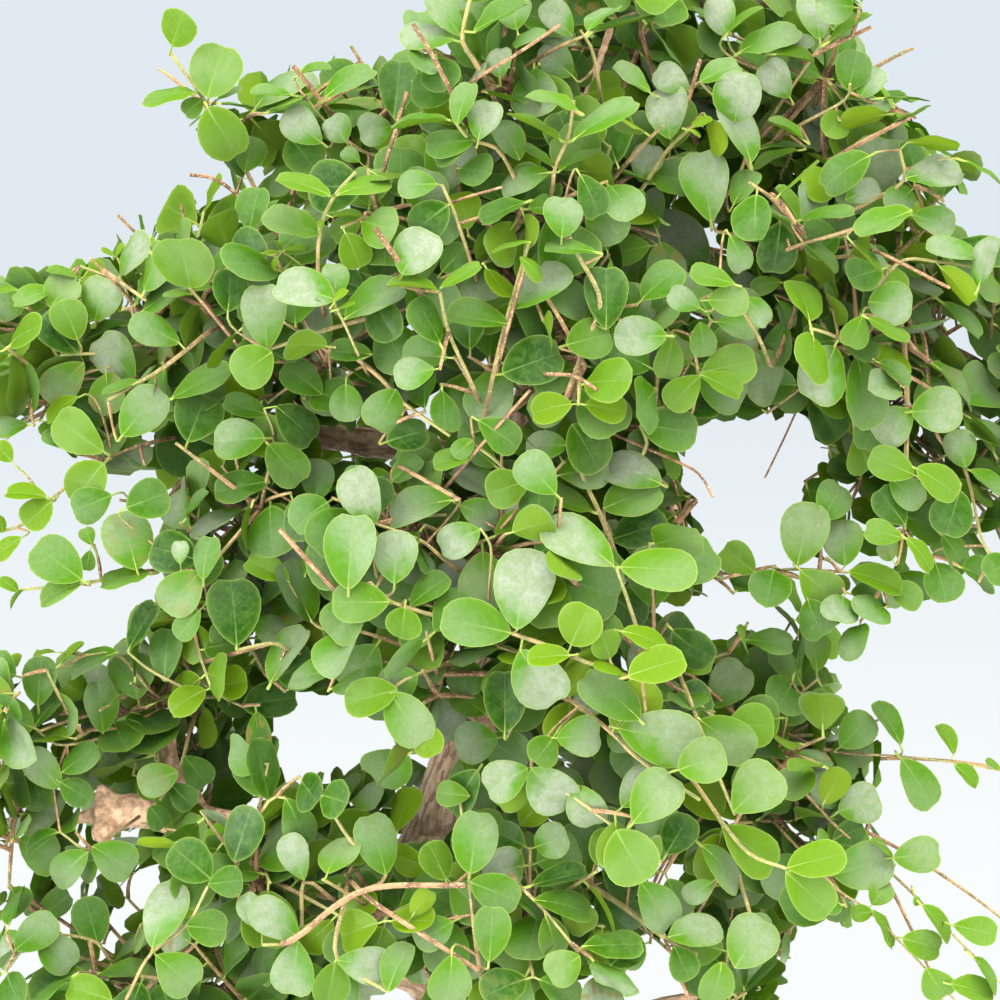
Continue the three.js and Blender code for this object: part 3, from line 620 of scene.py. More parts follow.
# The low limb on the left has young bark, smooth to its stump
stump = np.clip((STUMP_FROM - places[:, 0]) / 10, 0, 1) * np.clip((STUMP_BELOW - places[:, 2]) / 10, 0, 1)
thick = centre_radii[nearest] * (1 - 0.7 * stump)
old = np.clip((thick - 2.5) / 4, 0, 1)
depth = np.empty(count)
for number, place in enumerate(bark_place):
    spot = Vector(place)
    plates = noise.voronoi(spot * PLATE)[0]
    crack = min(1, (plates[1] - plates[0]) * 4)
    lumps = noise.fractal(spot * LUMP, 1, 2, 3)
    depth[number] = 0.5 * crack + 0.7 * lumps
places = places + normals * (old * (depth - 0.5) + 0.12 * (1 - old) * depth)[:, None]
mesh.vertices.foreach_set("co", (places * MM + pot_middle).astype(np.float32).ravel())
mesh.update()
mesh.shade_smooth()
for name, values in (("bark_place", bark_place), ("thick", thick), ("crack", depth)):
    mark(wood, name, values)

bark, tree = new_look("bark")
place = marked(tree, "bark_place", "Vector")
thick_here, crack_here = marked(tree, "thick"), marked(tree, "crack")
young = ramp(tree, thick_here, 1.8, 5.5, 1, 0)
flakes = ramp(tree, grain(tree, 0.55, 3, place), 0.4, 0.6)
old_bark = mixed(tree, flakes, (0.18, 0.095, 0.052), (0.48, 0.33, 0.22))
old_bark = mixed(tree, ramp(tree, grain(tree, 0.16, 2, place), 0.5, 0.7), old_bark, (0.40, 0.33, 0.25))
# Thick old wood is darker: partly the older bark's own colour, partly painted shade for the trunk, which
# stands in shade under the crown
aged_and_shaded_bark = mixed(tree, flakes, (0.17, 0.11, 0.075), (0.34, 0.25, 0.18))
old_bark = mixed(tree, ramp(tree, thick_here, 6.5, 12), old_bark, aged_and_shaded_bark)
dapples = ramp(tree, grain(tree, 420, 4), 0.35, 0.62)
young_bark = mixed(tree, dapples, (0.40, 0.225, 0.135), (0.74, 0.48, 0.315))
colour = mixed(tree, young, old_bark, young_bark)
dark = ramp(tree, crack_here, 0, 0.35, 0.4, 0)
colour = mixed(tree, dark, colour, (0.15, 0.10, 0.065))
pores = ramp(tree, grain(tree, 2.6, 2, place), 0.63, 0.7)
colour = mixed(tree, pores, colour, (0.52, 0.43, 0.30))
soiled = ramp(tree, height_in(tree), 100 * MM, 215 * MM, 0.85, 0)
colour = mixed(tree, soiled, colour, mixed(tree, flakes, (0.05, 0.032, 0.022), (0.13, 0.095, 0.07)))
fibres = worked(tree, "ADD", grain(tree, 2.2, 2, place), flakes)
knobbly = shade(tree, "Mix", {0: young, 2: fibres, 3: grain(tree, 900, 3)}, data_type="FLOAT").outputs[0]
finish_look(tree, surface(tree, colour, ramp(tree, flakes, 0, 1, 0.92, 0.74), (knobbly, 0.6, 0.0005)))
mesh.materials.clear()
mesh.materials.append(bark)

# A leaf is one leathery blade, rounded and widest past its middle, on a stalk 2 to 3 mm long. The
# blade folds a little along its rib and thins to a sharp rim. Leaves before FINE_BEFORE, and those
# that the picture shows, have a finer blade than the rest.
LEAF_LENGTH = 17
LEAF_THICKNESS = 0.36
STALK_RADIUS = 0.42
STALK_SIDES = 3
FINE_BEFORE = -36


def blade_form(around, ring_shares):
    """A flat blade 1 long: points (along, side, edge, level) over both its faces, and triangles."""
    turns = 2 * np.pi * np.arange(around) / around
    along = 0.5 + 0.5 * np.cos(turns)
    half = np.sign(np.sin(turns)) * along**0.7 * (1 - along) ** 0.42
    edge = np.stack([along, half], axis=1)
    middle = np.array([0.52, 0])
    rim = 2 * (1 + len(ring_shares) * around)
    points, triangles = [], []
    for level in (1, -1):
        start = len(points)
        points.append((*middle, 0, level))
        for share in ring_shares:
            points += [(x, y, share, level) for x, y in middle + share * (edge - middle)]
        firsts = [*range(start + 1, len(points), around), rim]
        fan = [(start, start + 1 + k, start + 1 + (k + 1) % around) for k in range(around)]
        for low, high in zip(firsts, firsts[1:]):
            for k in range(around):
                after = (k + 1) % around
                fan += [(low + k, high + k, high + after), (low + k, high + after, low + after)]
        triangles += fan if level > 0 else [face[::-1] for face in fan]
    points += [(x, y, 1, 0) for x, y in edge]
    return np.array(points), np.array(triangles)


fine_blade = blade_form(20, (0.42, 0.82))
plain_blade = blade_form(14, (0.6,))


def spread_blades(leaves, form):
    """The points and triangles of many blades, each point's place on its blade, and its side."""
    grid, triangles = form
    along, side, edge, level = (grid[:, k][None] for k in range(4))
    base, out, face = (np.array([leaf[key] for leaf in leaves]) for key in ("base", "out", "face"))
    across = np.cross(face, out)
    shape = "length", "wide", "taper", "fold", "arch", "cup", "wave", "twist", "notch", "phase"
    values = {key: np.array([leaf[key] for leaf in leaves])[:, None] for key in shape}
    x = along - 0.05 * values["notch"] * np.exp(-((side / 0.06) ** 2)) * (along > 0.5) * edge**3
    y = side * values["wide"] * (1 - values["taper"] * (1 - along) ** 2)
    rise = values["fold"] * (np.sqrt(y**2 + 0.0016) - 0.04) - values["cup"] * y**2
    rise = rise - values["arch"] * x**2
    rise = rise + values["wave"] * edge**2 * np.sin(5 * np.arctan2(side, along - 0.5) + values["phase"])
    turn = values["twist"] * x
    y, rise = y * np.cos(turn) - rise * np.sin(turn), y * np.sin(turn) + rise * np.cos(turn)
    lift = level * LEAF_THICKNESS / 2 * (1 - edge**6)
    length = values["length"]
    points = (
        base[:, None]
        + (x * length)[..., None] * out[:, None]
        + (y * length)[..., None] * across[:, None]
        + (rise * length + lift)[..., None] * face[:, None]
    )
    faces = triangles + np.arange(len(leaves))[:, None, None] * len(grid)
    blade = np.stack(np.broadcast_arrays(along, side * values["wide"] * length, edge), axis=2)
    under = np.broadcast_to((1 - level) / 2, points.shape[:2])
    return points.reshape(-1, 3), faces.reshape(-1, 3).tolist(), blade.reshape(-1, 3), under.ravel()


def spread_stalks(leaves):
    """The same of a three-sided stalk for each leaf, from its stem to a little way up the rib."""
    foot, base, out, face = (
        np.array([leaf[key] for leaf in leaves]) for key in ("foot", "base", "out", "face")
    )
    across = np.cross(face, out)
    length = np.array([leaf["length"] for leaf in leaves])[:, None]
    size = STALK_RADIUS * np.clip(length / LEAF_LENGTH, 0.5, 1.1)
    rib = base + 0.22 * length * out - 0.1 * face
    rings = (foot, 1.25 * size), (base - 0.12 * face, size), (rib, 0.35 * size)
    points = []
    for centre, radius in rings:
        for turn in (math.pi / 2, math.pi * 7 / 6, math.pi * 11 / 6):
            points.append(centre + radius * (math.cos(turn) * across + math.sin(turn) * face))
    quads = np.array(bands(len(rings), STALK_SIDES))
    faces = quads + np.arange(len(leaves))[:, None, None] * len(points)
    points = np.stack(points, axis=1).reshape(-1, 3)
    return points, faces.reshape(-1, 4).tolist(), np.tile((-1, 0, 0), (len(points), 1)), np.zeros(len(points))


foliage, tree = new_look("foliage")
along, side, edge = parts(tree, marked(tree, "blade", "Vector"))
tone, age, chance = parts(tree, marked(tree, "leaf", "Vector"))
under = marked(tree, "under")
away = worked(tree, "ABSOLUTE", side)
patches, flecks = grain(tree, 330, 1), grain(tree, 1100, 1)
# Painted sheen: a pale grey wash paints the glossy reflection of the bright room onto the upper side,
# strongest towards the tip and a little more on one half of the fold, on pale and full-grown leaves the most
sheen_half = worked(tree, "SINE", worked(tree, "MULTIPLY", chance, 60))
sheen_spread = worked(tree, "MULTIPLY_ADD", worked(tree, "MULTIPLY", side, sheen_half), 0.07, along)
sheen_spread = worked(tree, "MULTIPLY_ADD", patches, 0.6, sheen_spread)
painted_sheen = ramp(tree, sheen_spread, 0.3, ramp(tree, tone, 0.6, 1, 1.15, 0.75))
painted_sheen = worked(tree, "MULTIPLY", painted_sheen, ramp(tree, flecks, 0.3, 0.7, 0.7, 1))
painted_sheen = worked(tree, "MULTIPLY", painted_sheen, ramp(tree, tone, 0.2, 0.95, 0.12, 1))
painted_sheen = worked(tree, "MULTIPLY", painted_sheen, ramp(tree, age, 0.1, 0.6, 1, 0.2))
mature = mixed(tree, ramp(tree, tone, 0, 0.6), (0.006, 0.040, 0.0), (0.044, 0.132, 0.002))
mature = mixed(tree, ramp(tree, flecks, 0.45, 0.7, 0, 0.2), mature, (0.09, 0.16, 0.03))
# The painted sheen's pale grey goes onto the blade here
mature = mixed(tree, painted_sheen, mature, (0.195, 0.213, 0.17))
mature = mixed(tree, ramp(tree, patches, 0.35, 0.7, 0, 0.3), mature, (0.055, 0.125, 0.010))
upper = mixed(tree, age, mature, (0.080, 0.146, 0.003))
lower = mixed(tree, age, (0.085, 0.15, 0.008), (0.13, 0.20, 0.003))
colour = mixed(tree, under, upper, lower)
# Faint side veins slant up from the rib, 2.7 mm apart, and the rib is paler than the blade
distance = worked(tree, "MULTIPLY", along, LEAF_LENGTH)
slant = worked(tree, "MULTIPLY_ADD", away, -0.7, distance)
wavy = worked(tree, "COSINE", worked(tree, "MULTIPLY", slant, 2 * math.pi / 2.7))
colour = mixed(tree, ramp(tree, wavy, 0.9, 1, 0, 0.06), colour, (0.22, 0.36, 0.09))
rib_width = ramp(tree, along, 0, 1, 0.34, 0.14)
rib = ramp(tree, worked(tree, "DIVIDE", away, rib_width), 0.5, 1, 1, 0)
rib_colour = mixed(tree, ramp(tree, along, 0.1, 0.5), (0.19, 0.28, 0.07), (0.13, 0.205, 0.07))
colour = mixed(tree, ramp(tree, rib, 0, 1, 0, 0.35), colour, rib_colour)
colour = mixed(tree, ramp(tree, edge, 0.955, 0.985, 0, 0.3), colour, (0.24, 0.33, 0.13))
# Few leaves have brown spots. The stalk is yellow-green all along.
spotted = worked(tree, "MULTIPLY", ramp(tree, chance, 0.93, 0.98, 0, 0.7), ramp(tree, patches, 0.52, 0.6))
colour = mixed(tree, spotted, colour, (0.16, 0.11, 0.035))
colour = mixed(tree, ramp(tree, along, -0.3, -0.1), (0.26, 0.32, 0.07), colour)
leathery = surface(tree, colour, ramp(tree, under, 0, 1, 0.32, 0.6), gloss=0.16)
through_light = mixed(tree, age, (0.16, 0.31, 0.002), (0.2, 0.34, 0.001))
glow = shade(tree, "BsdfTranslucent", {"Color": through_light}).outputs[0]
finish_look(tree, shade(tree, "MixShader", {0: 0.32, 1: leathery, 2: glow}).outputs[0])

# The twigs of this and last year are smooth and tan with pale specks, and greener to their tips.
TWIG_SIDES = 5
twig_look, tree = new_look("twig")
fresh = marked(tree, "fresh")
woody = mixed(tree, ramp(tree, grain(tree, 260), 0.35, 0.65), (0.09, 0.046, 0.02), (0.225, 0.125, 0.058))
woody = mixed(tree, ramp(tree, grain(tree, 1500, 2), 0.58, 0.66), woody, (0.33, 0.225, 0.13))
twiggy = mixed(tree, fresh, woody, (0.20, 0.25, 0.06))
dull = ramp(tree, fresh, 0, 1, 0.8, 0.5)
finish_look(tree, surface(tree, twiggy, dull, (grain(tree, 1800), 0.5, 0.0002)))

# The crown was clipped and then left to grow, so light passes between its masses. These outlines,
# in pixels of the picture, are where it is open, and no ordinary shoot grows into them.
CLEAR_SKY = [
    [(-200, -200), (-200, 262), (0, 275), (45, 262), (95, 262), (125, 235), (150, 200), (195, 190),
     (205, 165), (190, 120), (180, 100), (238, 88), (262, 68), (360, 52), (400, 58), (395, 15),
     (430, 0), (440, -40), (440, -200)],
    [(-200, 440), (40, 440), (60, 450), (100, 465), (150, 470), (165, 500), (150, 520), (160, 560),
     (165, 600), (130, 610), (120, 650), (60, 645), (40, 650), (0, 655), (-200, 655)],
    [(262, 720), (300, 705), (318, 680), (335, 705), (395, 720), (400, 740), (350, 765), (330, 775),
     (305, 770), (280, 775), (275, 740)],
    [(700, 415), (760, 420), (800, 410), (815, 430), (805, 470), (775, 485), (780, 520), (770, 545),
     (745, 550), (735, 545), (700, 555), (690, 520), (680, 500), (690, 460)],
    [(655, 592), (700, 600), (720, 590), (770, 600), (800, 640), (790, 645), (745, 612), (735, 640),
     (700, 632), (660, 605)],
    [(1300, 590), (905, 600), (880, 640), (830, 660), (835, 700), (880, 740), (880, 820), (860, 880),
     (850, 925), (800, 915), (792, 960), (775, 985), (790, 1250), (1300, 1250)],
    [(640, 960), (655, 940), (668, 950), (680, 985), (700, 980), (703, 1010), (703, 1250), (640, 1250)],
    [(150, 855), (165, 860), (150, 890), (130, 915), (120, 950), (105, 948), (110, 920), (130, 890)],
    [(-50, 835), (25, 850), (30, 880), (0, 890), (-50, 890)],
    [(945, 195), (962, 238), (1000, 232), (1300, 200), (1300, -200), (880, -200), (870, 5), (850, 50),
     (890, 85), (935, 95), (915, 120), (965, 140), (970, 160), (1000, 165)],
    [(935, 308), (950, 315), (985, 360), (980, 365), (950, 340)],
]
# Where the picture shows old wood between the leaves
CLEAR_WOOD = [
    [(85, 790), (145, 795), (145, 832), (90, 842)], [(312, 415), (388, 418), (385, 458), (312, 454)],
    [(440, 738), (452, 740), (452, 762), (438, 795), (438, 845), (420, 845), (422, 790), (434, 760)],
    [(195, 780), (255, 800), (250, 815), (200, 800)],
]
SKY_STEP, SKY_START, SKY_END = 4, -200, 1304
cells = np.arange(SKY_START, SKY_END, SKY_STEP)
sky_x, sky_y = np.meshgrid(cells, cells, indexing="ij")


def filled(outlines):
    """The cells of the picture inside some outlines."""
    whole = np.zeros(sky_x.shape, bool)
    for outline in outlines:
        inside = np.zeros(sky_x.shape, bool)
        for (x1, y1), (x2, y2) in zip(outline, outline[1:] + outline[:1]):
            if y1 != y2:
                cross = (x2 - x1) * (sky_y - y1) / (y2 - y1) + x1
                inside ^= ((y1 > sky_y) != (y2 > sky_y)) & (sky_x < cross)
        whole |= inside
    return whole


sky = filled(CLEAR_SKY)
covered = filled(CLEAR_WOOD)
WOOD_DEPTH = 4
shown_depth = np.full(sky.shape, -1e6)
shown_depth[covered] = WOOD_DEPTH


def picture_cells(points):
    """The cells of the picture in which some points are seen."""
    cell = np.clip(((seen(points) - SKY_START) / SKY_STEP).astype(int), 0, len(cells) - 1)
    return cell[:, 0], cell[:, 1]


def keep_clear(points, depth):
    """Keeps what grows later from standing in front of some points."""
    here = picture_cells(points)
    shown_depth[here] = np.maximum(shown_depth[here], depth)


def hiding_share(points):
    """The share of some points that stand in front of a leaf or twig that the picture shows."""
    return (points[:, 1] < shown_depth[picture_cells(points)]).mean()


def sky_share(points):
    """The share of some points that are seen in open sky."""
    return sky[picture_cells(points)].mean()


# The sprays are the leafy shoots at the end of each limb. For each: the limb that it grows on, how
# far along it, and where each of its main shoots ends. Shorter shoots fill in round them.
SPRAYS = [
    ("apex_crown", "trunk", 0.97, (0, 2, 480), (40, 46, 472)),
    ("apex_front", "trunk", 0.93, (80, -4, 476), (42, -46, 468)),
    ("right_top", "right_top", 0.9, (128, -8, 462), (96, -50, 446)),
    ("right_top_back", "right_top", 0.7, (104, 52, 444), (64, 82, 440)),
    ("right_high_tip", "right_high", 1, (158, -4, 402), (158, -14, 358)),
    ("right_high_front", "right_high", 0.75, (128, -48, 404), (86, -78, 400)),
    ("right_high_under", "right_high", 0.62, (106, -58, 364)),
    ("right_high_back", "right_back", 0.9, (134, 66, 402), (86, 88, 402)),
    ("right_hanging", "right_high", 0.92, (124, -24, 312), (156, -12, 310)),
    ("front_top", "front_top", 0.95, (6, -90, 404), (-38, -80, 404)),
    ("front_top_high", "front_top", 0.55, (46, -84, 428), (0, -58, 450)),
    ("front_top_low", "front_top", 0.8, (24, -84, 360)),
    ("back_top", "back_top", 0.9, (18, 106, 406), (-32, 86, 434)),
    ("left_top_tip", "left_top", 1, (-106, -6, 456), (-70, -48, 436)),
    ("left_top_crest", "left_top", 0.5, (-46, -12, 462), (-66, 46, 438)),
    ("left_high_tip", "left_high", 1, (-160, -2, 384), (-140, -24, 346)),
    ("left_high_front", "left_high", 0.78, (-122, -42, 394), (-82, -64, 388)),
    ("left_high_inner", "left_high", 0.55, (-48, -74, 364)),
    ("left_high_back", "left_back", 0.9, (-118, 70, 386), (-66, 82, 406)),
    ("left_mid", "left_mid", 0.92, (-116, -22, 322), (-72, -58, 322)),
    ("left_mid_low", "left_mid", 0.75, (-92, -36, 286)),
    ("front_mid", "front_mid", 0.92, (-36, -86, 316), (18, -92, 302)),
    ("front_mid_low", "front_mid", 0.7, (-18, -76, 266)),
    ("right_mid", "right_mid", 0.85, (58, -48, 322), (44, -70, 344)),
    ("right_mid_low", "right_low", 0.35, (44, -68, 272)),
    ("back_mid", "back_mid", 0.92, (-46, 92, 314), (44, 94, 308)),
    ("left_low_top", "left_low", 1, (-98, -14, 276), (-128, -34, 250)),
    ("left_low_tip", "left_low_tip", 0.95, (-160, -16, 246), (-150, -20, 204)),
    ("left_low_front", "left_low", 0.42, (-72, -54, 208)),
    ("left_low_back", "left_low_back", 0.9, (-108, 58, 240)),
    ("right_low_front", "right_low", 0.65, (86, -50, 246), (98, -34, 206)),
    ("right_low_tip", "right_low", 0.88, (120, -14, 256), (164, -22, 238)),
    ("right_low_trail", "right_low", 1, (156, -30, 192), (136, -36, 164)),
    ("right_low_back", "right_low_back", 0.9, (88, 64, 250)),
    ("front_low", "front_low", 0.92, (12, -78, 198), (-34, -68, 202)),
    ("left_base", "left_base", 0.95, (-116, -14, 172), (-70, -44, 166)),
    ("right_base", "right_base", 0.95, (62, -40, 168), (90, 24, 176)),
    ("back_low", "back_low", 0.9, (2, 98, 214), (-60, 60, 196)),
]
limb_of = {name: limb for name, limb, *rest in SPRAYS}
leaves = {name: [] for name in limb_of}
twigs = {name: [] for name in limb_of}
dice = random.Random(23)
SPOT = 2.3
SPOTS_ACROSS = 2000


def spots(points):
    """The small cubes of space that hold some points, each by its number."""
    cubes = np.floor(points / SPOT).astype(np.int64) + SPOTS_ACROSS // 2
    return set((cubes @ (SPOTS_ACROSS**2, SPOTS_ACROSS, 1)).tolist())


taken = spots(places)
TRUNK_AXIS = Vector((5, 5, 0))
# Points over a flat leaf 1 long, along and across it
sample = np.array([
    (0.52 + 0.46 * r * math.cos(turn), 0.46 * r * math.sin(turn))
    for r, count in ((0, 1), (0.34, 6), (0.68, 12), (1, 18))
    for turn in (2 * math.pi * k / count for k in range(count))
])


def light_at(point):
    """The way leaves turn their faces: out from the middle of the tree, up and to the window."""
    outward = Vector((point.x - TRUNK_AXIS.x, point.y - TRUNK_AXIS.y, 0)).normalized()
    return (outward * 0.75 + Vector((0, -0.45, 0.62))).normalized()


def model_box(margin):
    """The lowest and highest corner of the model, set out by a margin."""
    low, high = (np.array(corner) / MM - pot_middle / MM for corner in (cad_low, cad_high))
    return low - margin, high + margin


def flat_leaf(base, out, across, length):
    """Points over a leaf before it is bent."""
    return np.array(base) + length * (sample[:, :1] * np.array(out) + sample[:, 1:] * np.array(across))


LEAF_REACH = 13
SKY_ALLOWED, HIDING_ALLOWED, TOUCHING_ALLOWED = 0.12, 0.04, 1
leaf_low, leaf_high = model_box(LEAF_REACH)


def crowded(points, room):
    """Whether a leaf would stand in another leaf, in the wood, in open sky or before what shows."""
    return (
        len(room & taken) > TOUCHING_ALLOWED
        or sky_share(points) > SKY_ALLOWED
        or hiding_share(points) > HIDING_ALLOWED
    )


def add_leaf(spray, foot, out, face, length, age=0.0, must=False, **form):
    """Sets a leaf on its stem and tells whether it could. One that must stand is set if it is crowded."""
    out = out.normalized()
    face = (face - out * face.dot(out)).normalized()
    base = form.pop("base", None) or foot + out * (0.16 * length)
    flat = flat_leaf(base, out, face.cross(out), length)
    room = spots(flat)
    if (flat < leaf_low).any() or (flat > leaf_high).any() or (not must and crowded(flat, room)):
        return False
    taken.update(room)
    covered[picture_cells(flat)] = True
    leaves[spray].append({
        "foot": foot, "base": base, "out": out, "face": face, "length": length,
        "wide": dice.uniform(0.84, 1.08), "taper": dice.uniform(-0.25, 0.3),
        "fold": dice.uniform(0.08, 0.5), "arch": dice.uniform(-0.06, 0.34),
        "cup": dice.uniform(-0.15, 0.6), "wave": dice.uniform(0.004, 0.026),
        "twist": dice.uniform(-0.35, 0.35),
        "notch": dice.choice((0, 0.4, 1, 1)), "phase": dice.uniform(0, 6.3),
        "tone": min(1, max(0, dice.gauss(0.45, 0.22))), "age": age, "chance": dice.random(),
        "fine": must or base.y < FINE_BEFORE, **form,
    })
    return True


TIP_GAP, PAIR_GAP = (4.5, 6.5), (7, 9.5)
LEAF_TRIES = 7


def leaf_pairs(spray, line, bare, size, tip_age):
    """Sets pairs of leaves crosswise along a stem, from its tip back to where it is bare."""
    far = np.r_[0, np.cumsum(np.linalg.norm(np.diff(line, axis=0), axis=1))]
    at, pair, quarter = far[-1] - 0.6, 0, dice.uniform(-0.5, 0.5)
    while at > bare:
        base, ahead, behind = (
            Vector([np.interp(at + step, far, line[:, k]) for k in range(3)]) for step in (0, 0.5, -0.8)
        )
        along = (ahead - behind).normalized()
        light = light_at(base)
        up = (light - along * light.dot(along)).normalized()
        up.rotate(Matrix.Rotation(quarter + (0.45 if pair % 2 else -0.45), 3, along))
        grown = min(1, 0.7 + 0.17 * pair + 0.1 * dice.random())
        age = max(0, tip_age * (1 - 0.45 * pair))
        for hand in (-1, 1):
            side = along.cross(up) * hand
            length = LEAF_LENGTH * size * grown * dice.uniform(0.88, 1.12)
            for attempt in range(LEAF_TRIES):
                loose = 0.25 + 0.12 * attempt
                stray = Vector([dice.gauss(0, loose) for _ in range(3)])
                splay = dice.uniform(0.1, 0.75)
                out = side * math.cos(splay) + along * math.sin(splay) + up * dice.uniform(-0.1, 0.3)
                aim = (light * 0.75 + up * 0.45 + stray).normalized()
                out = (out - aim * out.dot(aim) * 0.8 + stray * 0.3).normalized()
                if add_leaf(spray, base, out, aim, length, age):
                    break
        at -= dice.uniform(*(PAIR_GAP if pair else TIP_GAP))
        pair += 1


def add_twig(spray, line, first, last, fresh):
    """Adds a twig along a line, from its first radius to its last, and how green its tip is."""
    twigs[spray].append((line, np.linspace(first, last, len(line)), fresh))


def leafy_shoot(spray, line, radii, fresh, bare, size, tip_age):
    """A shoot with its leaves, no longer than to the last of them."""
    before = len(leaves[spray])
    leaf_pairs(spray, line, bare, size, tip_age)
    feet = np.array([leaf["foot"] for leaf in leaves[spray][before:]])
    if len(feet):
        last = np.linalg.norm(line[:, None] - feet[None], axis=2).argmin(axis=0).max()
        add_twig(spray, line[: last + 2], *radii, fresh)


def bent(start, end, control):
    """Points along a stem that leaves its start towards the control point."""
    reach = (end - start).length
    shares = np.linspace(0, 1, max(4, round(reach / 3.5) + 1))[:, None]
    a, b, c = np.array(start), np.array(control), np.array(end)
    return a * (1 - shares) ** 2 + 2 * b * shares * (1 - shares) + c * shares**2


# The main shoots of each spray, as in the model. The first leaves its limb, and the next leaves the
# first. Those of a trailing spray are this year's, and thin.
TRAILING = ("right_low_trail", "right_low_tip")
MAIN_RADII, TRAILING_RADII = (1.1, 0.5), (0.7, 0.4)
NEXT_FROM = 0.22
main_lines = {}
for name, limb, at, *tips in SPRAYS:
    wood_line = wood_lines[limb][0]
    start = Vector(wood_line[round(at * (len(wood_line) - 1))])
    main_lines[name] = []
    for tip in map(Vector, tips):
        reach = (tip - start).length
        line = bent(start, tip, start.lerp(tip, 0.5) + Vector((0, 0, 0.1 * reach)))
        main_lines[name].append(line)
        add_twig(name, line, *(TRAILING_RADII if name in TRAILING else MAIN_RADII), 0.25)
        first = main_lines[name][0]
        start = Vector(first[round(NEXT_FROM * (len(first) - 1))])
